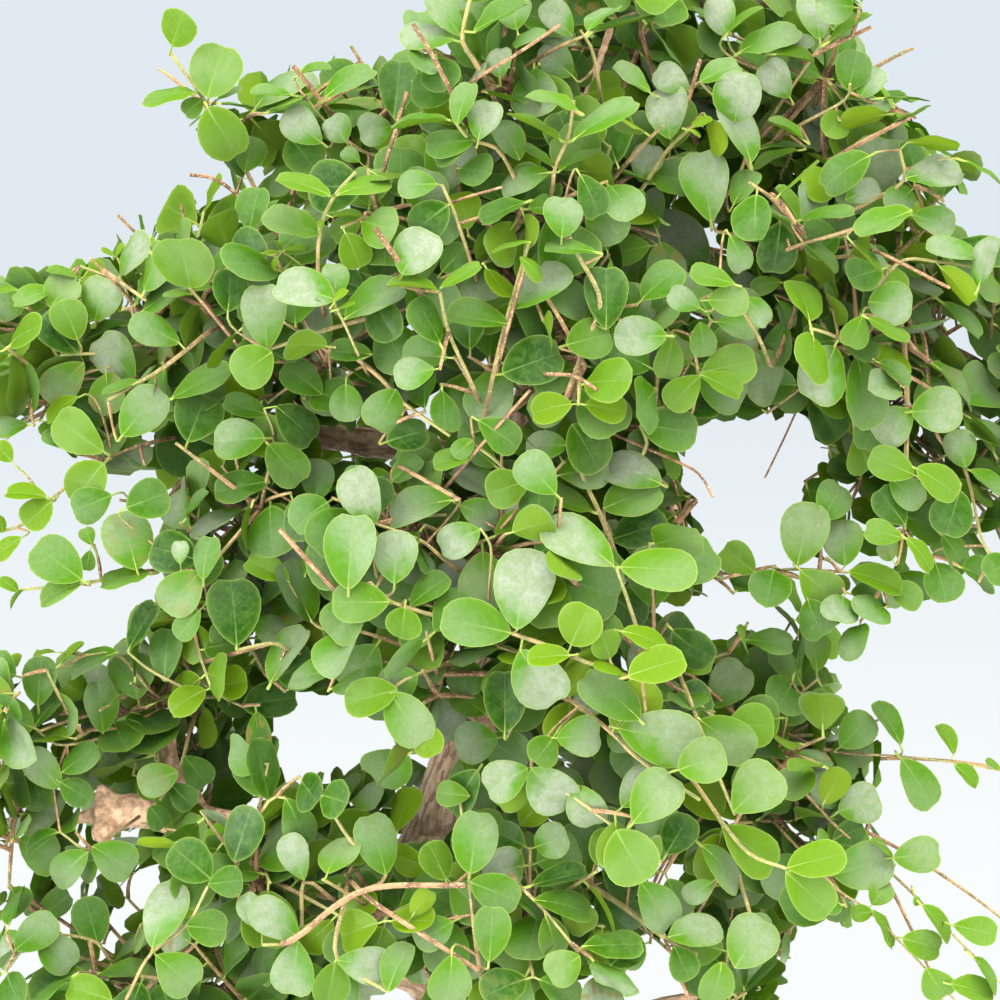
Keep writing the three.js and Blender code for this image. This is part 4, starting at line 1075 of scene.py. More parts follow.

# Shoots that show best from the front, as the picture has them: the spray that bears each, its depth
# at its foot and tip, its radius, the pixels along it, then its leaves, those behind first. A leaf is
# where its blade starts and ends, its width (below 0 if its underside shows), paleness (which also
# sets how much painted sheen it gets) and youth.
PICTURE_SHOOTS = [
    ("left_top_tip", -26, -34, 0.95, [(262, 205), (247, 172), (207, 104), (170, 52)], [
        (243, 178, 225, 150, 20, 0.5, 0), (245, 172, 253, 135, 36, 0.4, 0.1),
        (203, 99, 184, 115, 22, 0.3, 0.3), (217, 100, 240, 84, 10, 0.6, 0.2),
        (197, 93, 141, 90, 24, 0.6, 0.4), (208, 98, 222, 46, 55, 0.9, 0.4),
        (172, 46, 186, 15, 40, 0.7, 0.6), (207, 107, 236, 157, 48, 0.7, 0.5)]),
    ("left_high_tip", -16, -22, 0.8, [(175, 310), (135, 288), (80, 266)], [
        (18, 290, -15, 287, 12, 0.5, 0.6), (82, 278, 46, 268, 12, 0.5, 0.4),
        (52, 290, 12, 303, 24, 0.6, 0.3), (50, 308, 72, 277, 38, 0.8, 0.3),
        (95, 321, 106, 277, 46, 0.7, 0.1)]),
    ("left_high_tip", -22, -26, 0.5, [(130, 287), (117, 257)], [
        (116, 257, 124, 243, 8, 0.8, 1), (114, 256, 101, 248, 5, 0.8, 1)]),
    ("left_high_tip", -18, -30, 0.8, [(160, 340), (110, 352), (60, 355)], [
        (130, 325, 78, 331, 16, 0.4, 0), (78, 354, 42, 314, 42, 0.1, 0),
        (84, 363, 44, 400, 40, 0.6, 0.1), (78, 340, 62, 299, 38, 0.4, 0.3),
        (134, 380, 98, 336, 46, 0.85, 0.1)]),
    ("left_high_front", -50, -60, 0.9, [(238, 345), (193, 292), (150, 252)], [
        (192, 291, 222, 281, 14, 0.5, 0.3), (192, 294, 163, 290, 12, 0.5, 0.3),
        (191, 289, 183, 240, 62, 0.8, 0.45)]),
    ("left_high_front", -50, -56, 0.9, [(205, 335), (160, 370), (108, 400)], [
        (143, 383, 100, 388, 14, 0.4, 0.2), (180, 343, 130, 320, 38, 0.55, 0),
        (172, 398, 232, 370, 32, 0.4, 0.1), (122, 436, 160, 389, 44, 0.65, 0)]),
    ("left_mid", -34, -44, 0.8, [(150, 443), (120, 452), (98, 464), (60, 492), (22, 525), (-14, 533)], [
        (175, 420, 196, 472, 58, 0.1, 0), (78, 397, 42, 415, 20, 0.5, 0.75),
        (3, 533, -3, 515, 12, 0.6, 0.8), (12, 462, -5, 443, 22, 0.5, 0.8),
        (22, 537, -8, 555, 22, 0.5, 0.8), (52, 501, 25, 526, 34, 0.7, 0.75),
        (47, 497, 5, 487, 23, 0.5, 0.8), (104, 452, 52, 418, 46, 0.8, 0.6),
        (104, 463, 70, 502, 46, 0.8, 0.6)]),
    ("left_mid", -46, -54, 0.8, [(228, 566), (200, 569), (137, 572), (88, 583), (20, 590)], [
        (112, 495, 72, 512, 40, 0.35, 0), (24, 589, 6, 605, 6, 0.4, 0.2),
        (18, 592, 0, 575, 14, 0.5, 0.5), (92, 545, 84, 527, 18, 0.4, 0.3),
        (90, 550, 86, 571, 17, 0.3, 0.3), (150, 574, 98, 579, 21, 0.4, 0.25),
        (137, 570, 121, 510, 50, 0.6, 0.1), (82, 583, 36, 596, 26, 0.5, 0.3),
        (82, 580, 34, 545, 48, 0.45, 0.1)]),
    ("left_mid", -56, -60, 0.8, [(250, 520), (215, 560), (200, 575)], [
        (198, 560, 150, 545, 46, 0.05, 0), (126, 508, 168, 492, 42, 0.3, 0),
        (200, 610, 175, 638, 26, 0.4, 0.1), (200, 572, 163, 611, 44, 0.6, 0.1),
        (180, 564, 179, 540, 21, 0.8, 0.1), (203, 580, 206, 535, 26, 0.4, 0)]),
    ("left_mid_low", -40, -44, 0.7, [(190, 690), (150, 670), (128, 652)], [
        (165, 682, 165, 627, 33, 0.25, 0), (128, 650, 158, 602, 24, 0.0, 0)]),
    ("right_hanging", -52, -58, 1.1, [(903, 335), (907, 400), (906, 460), (904, 530)], [
        (960, 490, 945, 536, 46, 0.2, 0), (878, 402, 866, 452, 36, 0.35, 0),
        (905, 525, 878, 488, 36, 0.2, 0), (890, 478, 922, 506, 32, 0.55, 0),
        (893, 560, 880, 540, 26, 0.6, 0.1), (912, 410, 876, 438, 44, 0.8, 0.1),
        (911, 412, 963, 408, 46, 0.8, 0.15), (915, 475, 869, 455, 34, 0.7, 0.45),
        (916, 468, 961, 493, 31, 0.7, 0.55), (903, 538, 864, 528, 27, 0.7, 0.45),
        (906, 538, 938, 566, 26, 0.6, 0.65)]),
    ("right_hanging", -46, -50, 0.8, [(925, 345), (935, 430), (965, 470), (984, 545), (1010, 560)], [
        (935, 562, 945, 600, 44, 0.35, 0), (942, 535, 972, 569, 30, 0.4, 0.1),
        (930, 362, 984, 398, 30, 0.6, 0.1), (966, 468, 955, 430, 34, 0.7, 0.1),
        (970, 470, 1008, 500, 24, 0.5, 0.1), (1010, 560, 985, 575, 34, 0.3, 0.1)]),
    ("right_mid", -52, -58, 0.75, [(690, 574), (760, 572), (797, 569), (860, 573)], [
        (845, 566, 842, 520, 42, 0.7, 0.1), (890, 585, 922, 605, 28, 0.5, 0.3),
        (755, 572, 722, 547, 36, 0.8, 0.55), (797, 566, 812, 502, 50, 0.8, 0.25),
        (848, 572, 906, 583, 30, 0.5, 0.5), (800, 570, 838, 603, 44, 0.8, 0.45)]),
    ("right_low_tip", -34, -40, 0.5, [(780, 730), (832, 751), (897, 756), (950, 762), (1020, 774)], [
        (832, 752, 858, 776, 18, 0.4, 0.1), (1000, 770, 988, 757, 9, 0.5, 0.4),
        (954, 755, 943, 723, 20, 0.6, 0.55), (954, 765, 980, 784, 19, 0.5, 0.5),
        (901, 746, 882, 699, 28, 0.35, 0.15), (840, 747, 872, 716, 38, 0.5, 0.1),
        (901, 758, 936, 807, 42, 0.45, 0.1)]),
    ("right_low_trail", -52, -58, 0.6,
        [(780, 765), (835, 825), (890, 872), (922, 903), (975, 957), (1010, 992)], [
        (833, 840, 865, 826, 26, 0.15, 0), (838, 812, 880, 797, 44, 0.9, 0.1),
        (823, 804, 843, 768, -30, 0.3, 0.5), (833, 875, 893, 858, 48, 0.7, 0.1),
        (893, 860, 877, 834, 8, 0.5, 0.5), (893, 858, 941, 852, 38, 0.85, 0.3),
        (915, 895, 918, 906, 9, 0.6, 0.5), (922, 905, 955, 938, 22, 0.6, 0.5),
        (953, 925, 997, 935, 30, 0.8, 0.5), (973, 957, 1006, 987, 18, 0.6, 0.4)]),
    ("right_low_trail", -58, -64, 0.55, [(800, 850), (838, 890), (870, 912), (925, 968), (960, 1006)], [
        (872, 905, 888, 883, 26, 0.8, 0.4), (873, 912, 851, 914, 18, 0.6, 0.6),
        (872, 910, 900, 945, 18, 0.6, 0.5), (902, 938, 944, 950, 30, 0.8, 0.5),
        (926, 968, 946, 999, 36, 0.7, 0.5), (950, 984, 996, 993, 24, 0.7, 0.5)]),
    ("right_low_front", -84, -94, 0.8, [(700, 790), (745, 850), (787, 869)], [
        (722, 826, 779, 868, 42, 0.7, 0.6), (787, 868, 846, 852, 34, 0.6, 0.75),
        (786, 872, 833, 914, 42, 0.8, 0.5)]),
    ("right_low_front", -84, -92, 0.8, [(690, 700), (712, 760), (735, 815)], [
        (710, 708, 746, 664, 46, 0.75, 0.1), (700, 720, 753, 757, 46, 0.75, 0.25),
        (733, 812, 777, 768, 56, 0.85, 0.3)]),
    ("front_mid", -94, -104, 0.9, [(470, 612), (512, 633), (545, 645), (580, 660), (642, 681)], [
        (640, 720, 590, 668, 46, 0.5, 0), (511, 633, 440, 618, 50, 0.45, 0.1),
        (517, 630, 527, 548, 66, 0.95, 0), (520, 650, 556, 706, 58, 0.9, 0),
        (610, 658, 600, 631, 32, 0.4, 0.6), (622, 631, 670, 640, 24, 0.5, 0.8),
        (625, 676, 594, 660, 12, 0.5, 0.95), (571, 645, 586, 607, 46, 0.8, 0.8),
        (570, 655, 527, 658, 24, 0.5, 0.9), (628, 676, 685, 655, 38, 0.7, 0.9)]),
    ("front_mid_low", -92, -100, 0.85, [(540, 690), (570, 700), (612, 733), (640, 760), (700, 800)], [
        (505, 733, 505, 669, 44, 0.0, 0), (566, 696, 586, 664, -26, 0.4, 0.5),
        (612, 731, 655, 684, -46, 0.5, 0.5), (553, 738, 534, 762, 34, 0.3, 0.2),
        (556, 738, 602, 735, 44, 0.7, 0.1), (618, 728, 702, 746, 60, 0.8, 0.15),
        (678, 770, 726, 753, 46, 0.8, 0.3), (633, 823, 672, 773, 54, 0.8, 0.25)]),
    ("front_mid_low", -90, -98, 0.8, [(560, 735), (530, 766), (578, 800), (618, 830)], [
        (530, 775, 498, 808, -34, 0.2, 0.2), (578, 785, 592, 829, 42, 0.85, 0.1),
        (528, 768, 484, 790, 44, 0.85, 0.1), (531, 768, 569, 810, 52, 0.9, 0),
        (616, 830, 645, 880, 58, 0.8, 0.45)]),
    ("right_low_front", -80, -88, 0.8, [(740, 880), (752, 930), (735, 968)], [
        (722, 962, 714, 1006, 36, 0.6, 0.35), (735, 968, 765, 918, 54, 0.8, 0.2)]),
    ("left_top_crest", -40, -46, 0.7, [(392, 160), (360, 150), (322, 118), (308, 100)], [
        (300, 74, 330, 62, 12, 0.4, 0.2), (340, 86, 378, 80, 18, 0.5, 0),
        (292, 95, 250, 92, 18, 0.45, 0.1), (325, 98, 365, 57, 28, 0.45, 0),
        (392, 126, 358, 134, 36, 0.75, 0), (322, 143, 282, 112, 38, 0.8, 0),
        (346, 142, 330, 116, 30, 0.75, 0), (360, 162, 343, 148, 19, 0.5, 0)]),
    ("left_top_crest", -46, -50, 0.7, [(392, 172), (396, 140), (399, 112)], [
        (394, 118, 401, 59, 38, 0.2, 0)]),
    ("front_top", -86, -92, 0.8, [(320, 290), (318, 255), (322, 222), (336, 194), (356, 172)], [
        (322, 235, 263, 212, 38, 0.6, 0.25), (332, 217, 363, 212, 10, 0.5, 0.45),
        (318, 230, 322, 220, 7, 0.5, 0.95), (330, 196, 278, 171, 26, 0.55, 0.5),
        (337, 195, 387, 173, 24, 0.55, 0.45)]),
    ("front_top", -88, -96, 0.7, [(357, 352), (345, 325), (338, 312), (333, 301)], [
        (372, 354, 328, 352, 26, 0.3, 0), (335, 295, 336, 262, 28, 0.6, 0),
        (344, 319, 402, 282, 36, 0.6, 0), (335, 300, 275, 276, 38, 0.9, 0),
        (335, 307, 313, 297, 10, 0.5, 1), (334, 302, 345, 287, 9, 0.5, 1),
        (338, 309, 356, 304, 5, 0.5, 0.9)]),
    ("left_high_inner", -76, -80, 0.4, [(302, 266), (292, 258), (282, 252)], [
        (280, 252, 263, 254, 7, 0.5, 1), (281, 251, 278, 240, 6, 0.5, 1),
        (284, 250, 306, 250, 8, 0.5, 1), (278, 256, 272, 270, 6, 0.5, 0.9)]),
    ("left_high_inner", -76, -84, 0.9, [(370, 318), (320, 332), (268, 350)], [
        (322, 394, 284, 364, 38, 0.35, 0), (228, 312, 232, 268, 36, 0.1, 0),
        (267, 350, 262, 283, 44, 0.75, 0.1), (272, 352, 234, 378, 44, 0.5, 0.35)]),
    ("left_high_inner", -78, -86, 0.9, [(345, 350), (380, 378), (402, 402), (450, 436)], [
        (386, 442, 428, 428, 32, 0.05, 0), (346, 384, 345, 422, 34, 0.55, 0),
        (396, 389, 374, 430, 42, 0.5, 0.05)]),
    ("left_mid", -52, -60, 0.8, [(262, 500), (274, 440), (264, 408)], [
        (270, 482, 213, 488, 36, 0.25, 0), (266, 414, 222, 402, 28, 0.35, 0),
        (316, 502, 318, 458, 36, 0.6, 0), (276, 406, 316, 438, 42, 0.1, 0),
        (265, 438, 212, 440, 42, 0.6, 0), (268, 444, 302, 484, 42, 0.35, 0.15)]),
    ("left_mid_low", -58, -62, 0.8, [(290, 650), (272, 643), (237, 650)], [
        (270, 684, 302, 624, 34, 0.75, 0.1), (237, 646, 232, 577, 56, 0.1, 0)]),
    ("left_mid", -56, -62, 0.7, [(350, 640), (312, 622), (290, 585)], [
        (290, 582, 247, 556, 32, 0.5, 0.45), (312, 622, 282, 560, 40, 0.6, 0)]),
    ("left_mid_low", -38, -42, 0.7, [(200, 680), (225, 698), (242, 706)], [
        (242, 706, 298, 696, 38, 0, 0)]),
    ("front_mid", -88, -94, 0.9, [(450, 620), (410, 608), (388, 600), (370, 582)], [
        (410, 606, 446, 573, 28, 0.3, 0.1), (474, 596, 444, 560, 40, 0.95, 0),
        (394, 584, 400, 530, 50, 0.75, 0), (348, 590, 352, 512, 48, 0.6, 0),
        (389, 602, 331, 602, 42, 0.45, 0.25), (405, 608, 402, 638, 38, 0.3, 0.35)]),
    ("front_mid", -86, -90, 0.7, [(445, 560), (420, 540), (376, 524)], [
        (452, 500, 386, 508, 38, 0.7, 0), (376, 524, 350, 468, 48, 1, 0)]),
    ("front_mid", -88, -92, 0.6, [(489, 590), (491, 548), (480, 528)], [
        (480, 530, 438, 548, 36, 0.8, 0)]),
    ("front_mid_low", -84, -90, 0.8, [(430, 670), (404, 680), (392, 691)], [
        (486, 714, 452, 690, 30, 0.3, 0.3), (466, 658, 466, 694, 38, 0.4, 0),
        (498, 738, 455, 745, 44, 0.75, 0), (390, 692, 424, 746, 44, 0.7, 0.2),
        (398, 690, 343, 702, 38, 0.45, 0.5)]),
    ("front_mid", -84, -92, 0.7, [(500, 530), (520, 500), (500, 465), (475, 445)], [
        (460, 505, 498, 520, 32, 0.65, 0), (472, 456, 432, 462, 24, 0.4, 0.3),
        (473, 440, 453, 456, 20, 0.4, 0.1), (478, 420, 520, 446, 38, 0.3, 0.1),
        (530, 480, 486, 494, 42, 0.25, 0.45)]),
    ("right_mid", -72, -82, 1.0, [(612, 545), (598, 510), (582, 475), (572, 440)], [
        (567, 445, 525, 446, 30, 0.65, 0), (594, 512, 533, 494, 32, 0.5, 0.25),
        (572, 424, 602, 470, 48, 0.15, 0.1)]),
    ("right_mid", -66, -76, 0.9, [(604, 590), (612, 540), (604, 508), (645, 450), (640, 425)], [
        (604, 590, 646, 622, 40, 0.1, 0), (612, 540, 668, 520, 40, 0, 0),
        (640, 424, 698, 434, 46, 0.35, 0), (662, 484, 604, 458, 36, 0.9, 0),
        (603, 508, 662, 486, 42, 0.5, 0.2)]),
    ("front_mid", -94, -99, 0.9, [(638, 632), (625, 592), (616, 567)], [
        (620, 567, 698, 571, 40, 0.7, 0.35), (614, 566, 551, 514, 42, 0.9, 0.15)]),
    ("front_top_high", -80, -88, 1.0, [(485, 80), (472, 58), (462, 38), (472, -10)], [
        (461, 36, 428, -6, 24, 0.7, 0), (474, 32, 528, 0, 28, 0.35, 0.1), (455, 40, 400, 28, 32, 0.8, 0),
        (500, 78, 498, 46, 28, 0.8, 0)]),
    ("front_top_high", -82, -90, 0.8, [(520, 190), (498, 150), (470, 140), (455, 122)], [
        (520, 160, 500, 119, 32, 0.6, 0), (470, 142, 433, 160, 26, 0.25, 0),
        (475, 140, 424, 145, 32, 0.35, 0), (450, 120, 389, 124, 14, 0.45, 0),
        (457, 125, 468, 80, 22, 0.5, 0.1), (478, 140, 488, 98, 38, 0.85, 0)]),
    ("front_top_high", -84, -92, 0.9, [(552, 190), (556, 165), (568, 138), (574, 100)], [
        (549, 172, 499, 180, 30, 0.65, 0), (554, 167, 521, 146, 14, 0.55, 0.3),
        (558, 172, 601, 146, 14, 0.4, 0.1), (562, 141, 507, 109, 15, 0.6, 0.35),
        (573, 140, 634, 94, 26, 0.5, 0.05), (578, 111, 530, 86, 24, 0.6, 0.25)]),
    ("apex_front", -60, -66, 0.8, [(600, 90), (592, 50), (580, 30)], [
        (592, 32, 660, 17, 15, 0.45, 0), (640, 50, 625, 22, 32, 0.3, 0), (572, 76, 541, 45, 32, 0.75, 0),
        (572, 36, 545, 0, 30, 0.85, 0)]),
    ("front_top", -90, -96, 0.8, [(470, 260), (455, 215), (442, 185)], [
        (442, 272, 466, 245, 26, 0.3, 0), (525, 202, 478, 220, 24, 0.25, 0),
        (448, 205, 412, 232, 38, 0.15, 0), (437, 184, 397, 184, 30, 0.5, 0)]),
    ("front_top", -92, -100, 0.8, [(470, 380), (448, 330), (440, 292)], [
        (491, 378, 429, 362, 42, 0.7, 0), (402, 275, 428, 228, 50, 0.95, 0),
        (439, 291, 387, 276, 13, 0.6, 0.45), (440, 288, 483, 266, 17, 0.6, 0.45)]),
    ("front_top_low", -88, -98, 0.85, [(488, 400), (500, 345), (515, 290), (529, 242)], [
        (502, 374, 562, 350, 50, 0.05, 0), (510, 308, 571, 270, 42, 0.8, 0),
        (509, 324, 446, 316, 34, 0.4, 0.15), (531, 242, 490, 244, 10, 0.6, 0.45),
        (520, 257, 545, 276, 20, 0.6, 0.5)]),
    ("front_top_low", -88, -94, 0.9, [(565, 400), (585, 345), (600, 300), (575, 250), (562, 215)], [
        (580, 174, 603, 215, 36, 0.2, 0), (606, 330, 607, 264, 46, 0.15, 0),
        (566, 345, 612, 332, 42, 0.4, 0.25), (667, 336, 614, 336, 40, 0.8, 0),
        (562, 238, 565, 195, 42, 0.65, 0), (596, 252, 545, 243, 20, 0.4, 0.1)]),
    ("apex_front", -54, -64, 0.9, [(618, 216), (640, 192), (666, 152), (690, 128)], [
        (640, 182, 652, 143, 36, 0.9, 0), (655, 184, 615, 170, 10, 0.5, 0.1),
        (650, 246, 612, 252, 34, 0.45, 0.35), (708, 118, 728, 152, -22, 0.5, 0.7),
        (670, 139, 664, 84, 46, 0.95, 0), (692, 127, 711, 116, 11, 0.5, 0.95),
        (690, 130, 702, 134, 7, 0.5, 0.95)]),
    ("apex_front", -58, -66, 0.8, [(735, 235), (712, 224), (745, 160), (735, 120), (700, 82)], [
        (690, 92, 655, 68, 32, 0.9, 0), (650, 92, 612, 68, 20, 0.7, 0.2),
        (700, 82, 738, 58, 26, 0.5, 0.05), (735, 122, 738, 78, 50, 1, 0),
        (733, 205, 752, 167, 26, 0.45, 0.1), (751, 163, 733, 98, 26, 0.8, 0),
        (711, 222, 700, 148, 50, 0.7, 0), (709, 263, 650, 217, 44, 0.97, 0)]),
    ("right_top", -52, -62, 0.8, [(775, 112), (800, 75), (822, 45), (830, 36)], [
        (776, 50, 812, 34, 24, 0.8, 0), (727, 36, 712, -6, 32, 0.9, 0),
        (740, 52, 797, 20, 32, 0.6, 0.05), (727, 34, 762, 2, 11, 0.4, 0.3),
        (775, 54, 815, 58, 18, 0.4, 0.4), (790, 98, 763, 62, 36, 0.9, 0),
        (820, 40, 813, -18, 42, 0.95, 0), (828, 42, 872, 12, 12, 0.35, 0.3)]),
    ("right_top", -54, -62, 0.8, [(800, 125), (845, 100), (850, 84)], [
        (860, 98, 880, 66, 28, 0.75, 0), (848, 90, 858, 50, 38, 0.4, 0), (882, 98, 932, 95, 8, 0.5, 0.1),
        (848, 118, 890, 103, 20, 0.6, 0), (888, 114, 838, 118, -22, 0.5, 0.65),
        (800, 150, 752, 160, 14, 0.5, 0.3), (757, 150, 815, 136, 13, 0.45, 0.1),
        (804, 140, 768, 118, 14, 0.5, 0.2)]),
    ("right_high_front", -58, -66, 0.8, [(845, 215), (880, 196), (904, 180), (900, 150)], [
        (845, 200, 880, 186, 26, 0.85, 0), (912, 215, 955, 228, 34, 0.65, 0),
        (908, 142, 960, 141, -13, 0.5, 0.7), (905, 178, 963, 163, 38, 0.95, 0),
        (962, 160, 1010, 178, 12, 0.6, 0.4), (870, 155, 820, 182, 38, 0.35, 0.1)]),
    ("right_high_front", -76, -86, 0.8, [(800, 245), (850, 230), (912, 210)], [
        (780, 222, 776, 274, 42, 0, 0), (802, 242, 840, 272, 22, 0.45, 0.1),
        (800, 220, 857, 211, 17, 0.4, 0.1), (912, 210, 856, 236, 30, 0.45, 0.2),
        (853, 243, 880, 274, 10, 0.5, 0.5)]),
    ("right_high_front", -70, -78, 0.7, [(900, 330), (870, 305), (900, 262), (940, 262), (978, 268)], [
        (902, 290, 925, 332, 32, 0.5, 0), (980, 258, 926, 242, 22, 0.7, 0),
        (895, 250, 938, 257, -22, 0.5, 0.6), (940, 266, 977, 300, -24, 0.5, 0.65),
        (868, 302, 911, 305, 44, 0.7, 0), (978, 288, 994, 236, 26, 0.9, 0),
        (942, 302, 982, 338, 28, 0.45, 0), (862, 316, 850, 348, 32, 0.45, 0.35),
        (868, 318, 909, 343, 24, 0.6, 0.45)]),
    ("right_high_front", -84, -92, 0.8, [(760, 340), (737, 300), (720, 270)], [
        (730, 235, 748, 270, 30, 0.6, 0), (785, 320, 772, 366, 28, 0.35, 0),
        (778, 300, 794, 328, 22, 0.5, 0), (745, 298, 772, 322, 26, 0.65, 0),
        (782, 282, 750, 286, 22, 0.35, 0.25), (700, 308, 668, 292, 26, 0.7, 0),
        (708, 300, 750, 300, 32, 0.8, 0.35), (735, 284, 689, 272, 30, 0.4, 0.3)]),
    ("right_mid", -74, -84, 0.8, [(690, 420), (698, 376), (690, 335)], [
        (672, 337, 666, 380, 32, 0.6, 0.4), (700, 322, 706, 357, 30, 0.45, 0.1),
        (702, 372, 757, 360, 42, 0.75, 0.45), (700, 376, 668, 408, 36, 0.7, 0.5),
        (700, 374, 742, 395, 22, 0.7, 0.55)]),
    ("left_low_top", -24, -34, 0.7, [(150, 715), (110, 735), (60, 745), (35, 728)], [
        (34, 728, 56, 690, 20, 0.3, 0), (38, 706, 40, 656, 34, 0.4, 0), (60, 788, 28, 750, 34, 0.7, 0.1),
        (62, 772, 98, 746, 26, 0.4, 0), (103, 733, 97, 679, 34, 0.55, 0)]),
    ("left_low_top", -28, -36, 0.6, [(150, 690), (118, 655), (85, 655)], [
        (60, 664, 84, 642, 9, 0.6, 0.8), (55, 652, 35, 649, 5, 0.6, 0.9),
        (118, 652, 66, 670, 22, 0.5, 0)]),
    ("left_low_top", -22, -30, 0.8, [(190, 730), (180, 768), (160, 800)], [
        (150, 806, 166, 826, 26, 0.2, 0), (170, 784, 194, 808, 28, 0.2, 0),
        (184, 756, 208, 786, 34, 0.25, 0), (204, 706, 212, 748, -26, 0.4, 0.4),
        (178, 772, 138, 786, 34, 0.6, 0.1)]),
    ("left_low_tip", -26, -34, 0.6, [(120, 830), (90, 850), (60, 832)], [
        (60, 782, 90, 800, 28, 0.3, 0), (58, 832, 22, 845, 16, 0.25, 0), (88, 852, 50, 882, 32, 0.6, 0),
        (92, 846, 134, 872, 44, 0.5, 0)]),
    ("left_low_tip", -28, -38, 0.7, [(110, 960), (92, 940), (40, 935), (15, 952)], [
        (98, 945, 85, 897, 38, 0.25, 0), (38, 918, 72, 894, 28, 0.4, 0.1),
        (40, 938, 74, 968, 38, 0.65, 0), (15, 950, 54, 918, 36, 0.6, 0)]),
    ("left_low_front", -60, -70, 0.8, [(130, 992), (150, 955), (186, 926), (208, 886)], [
        (211, 879, 172, 846, 44, 0.2, 0), (208, 884, 243, 880, 34, 0.3, 0),
        (186, 926, 228, 930, 38, 0.3, 0.15), (112, 1000, 66, 985, 36, 0.5, 0.6),
        (156, 955, 196, 988, 48, 0.55, 0.15), (152, 948, 170, 882, 48, 0.8, 0)]),
    ("left_low_front", -60, -66, 0.8, [(240, 900), (238, 862), (268, 802), (286, 798)], [
        (268, 800, 255, 738, 34, 0.25, 0), (286, 798, 310, 845, 38, 0.4, 0),
        (234, 862, 252, 806, 36, 0.05, 0)]),
    ("left_low_front", -64, -72, 0.9, [(335, 900), (304, 882), (299, 938), (262, 945)], [
        (262, 930, 242, 895, 28, 0.7, 0), (318, 893, 284, 899, 26, 0.3, 0.5),
        (304, 880, 287, 834, 36, 0.85, 0), (298, 941, 291, 997, 50, 0.7, 0),
        (299, 938, 253, 901, 42, 0.8, 0)]),
    ("front_low", -78, -86, 0.8, [(360, 892), (386, 876), (350, 840), (322, 795)], [
        (322, 795, 350, 800, 42, 0.2, 0), (386, 875, 370, 813, 44, 0.55, 0)]),
    ("front_low", -82, -90, 0.8, [(345, 900), (337, 958), (388, 992)], [
        (335, 962, 328, 1006, 38, 0.3, 0.4), (388, 992, 404, 942, 28, 0.5, 0.1),
        (337, 960, 392, 968, 42, 0.9, 0.1)]),
    ("front_low", -92, -82, 0.8, [(480, 972), (474, 930), (469, 878), (460, 800)], [
        (478, 770, 446, 812, 34, 0.15, 0), (446, 880, 428, 842, 34, 0.2, 0.4),
        (470, 796, 436, 792, 28, 0.3, 0.3), (412, 916, 430, 888, -22, 0.4, 0.5),
        (470, 882, 520, 902, 38, 0.4, 0.1), (470, 874, 479, 811, 44, 0.55, 0),
        (489, 962, 494, 906, 40, 0.4, 0.1), (452, 955, 449, 1006, 46, 0.55, 0.2)]),
    ("front_low", -88, -94, 0.8, [(522, 888), (546, 912), (578, 952)], [
        (530, 886, 588, 870, 18, 0, 0), (546, 916, 560, 958, 32, 0.3, 0.3),
        (533, 900, 594, 904, 28, 0.25, 0.1), (582, 946, 645, 944, 26, 0.2, 0.1),
        (580, 956, 548, 976, 38, 0.8, 0.35)]),
    ("right_low_front", -78, -86, 1.3, [(590, 885), (625, 908), (665, 938), (697, 955)], [
        (602, 868, 638, 898, 34, 0.15, 0), (712, 882, 684, 900, 24, 0.65, 0),
        (702, 846, 748, 884, 32, 0.65, 0.1), (674, 946, 690, 980, 32, 0.25, 0.1),
        (668, 937, 722, 924, 30, 0.8, 0.15), (640, 882, 676, 928, 44, 0.6, 0)]),
]
# Bare ends of clipped shoots, in the same way: the spray, the depths, the radius and the pixels
CLIPPED_SHOOTS = [
    ("left_top_tip", -40, -48, 0.9, [(330, 112), (293, 66)]),
    ("left_top_tip", -40, -50, 0.7, [(285, 242), (243, 200), (215, 179), (190, 175)]),
    ("left_high_tip", -20, -26, 0.6, [(145, 242), (118, 215)]),
    ("left_top_tip", -30, -36, 0.5, [(190, 238), (181, 205)]),
    ("front_top", -97, -104, 1.0, [(408, 275), (375, 228)]),
    ("front_top_high", -88, -97, 0.8, [(450, 90), (432, 55), (413, 24)]),
    ("front_top_high", -80, -90, 0.7, [(385, 165), (407, 92)]),
    ("apex_front", -70, -76, 0.7, [(690, 95), (700, 60)]),
    ("right_top", -60, -66, 0.75, [(820, 52), (871, 27)]),
    ("right_top", -64, -72, 0.8, [(857, 145), (911, 117)]),
    ("right_high_front", -84, -92, 0.8, [(782, 203), (795, 223)]),
    ("right_high_front", -72, -80, 0.65, [(885, 255), (950, 288)]),
    ("right_hanging", -50, -56, 1.0, [(905, 345), (931, 362)]),
    ("front_top_low", -92, -100, 0.7, [(502, 350), (525, 265)]),
    ("right_mid", -70, -84, 0.5, [(620, 437), (680, 463), (700, 475), (713, 497)]),
    ("front_mid", -88, -96, 0.9, [(335, 590), (305, 558), (280, 530)]),
    ("front_mid", -88, -96, 0.7, [(415, 475), (460, 500)]),
    ("front_mid", -90, -98, 0.6, [(460, 470), (490, 435), (530, 390)]),
    ("left_mid_low", -52, -58, 0.7, [(222, 657), (272, 643)]),
    ("front_low", -84, -96, 1.0, [(300, 935), (365, 890), (465, 885)]),
    ("front_low", -88, -96, 0.8, [(365, 895), (400, 920), (478, 970)]),
    ("right_high_under", -30, -34, 0.4, [(811, 376), (788, 430), (765, 478)]),
    ("front_top_high", -86, -92, 0.6, [(478, 78), (520, 52), (560, 25)]),
    ("left_high_front", -58, -64, 0.7, [(238, 345), (202, 302)]),
    ("front_top_low", -92, -97, 0.7, [(550, 374), (575, 376), (597, 390)]),
    ("front_top", -90, -95, 0.5, [(458, 200), (502, 187)]),
    ("right_low_front", -84, -88, 0.6, [(665, 940), (676, 965), (690, 1004)]),
    ("left_low_tip", -30, -36, 0.9, [(97, 972), (90, 942)]),
]
LAYER = 1.2
TO_WINDOW, FROM_WINDOW = Vector((-0.35, 0, 0)), Vector((0.25, 0, 0.2))
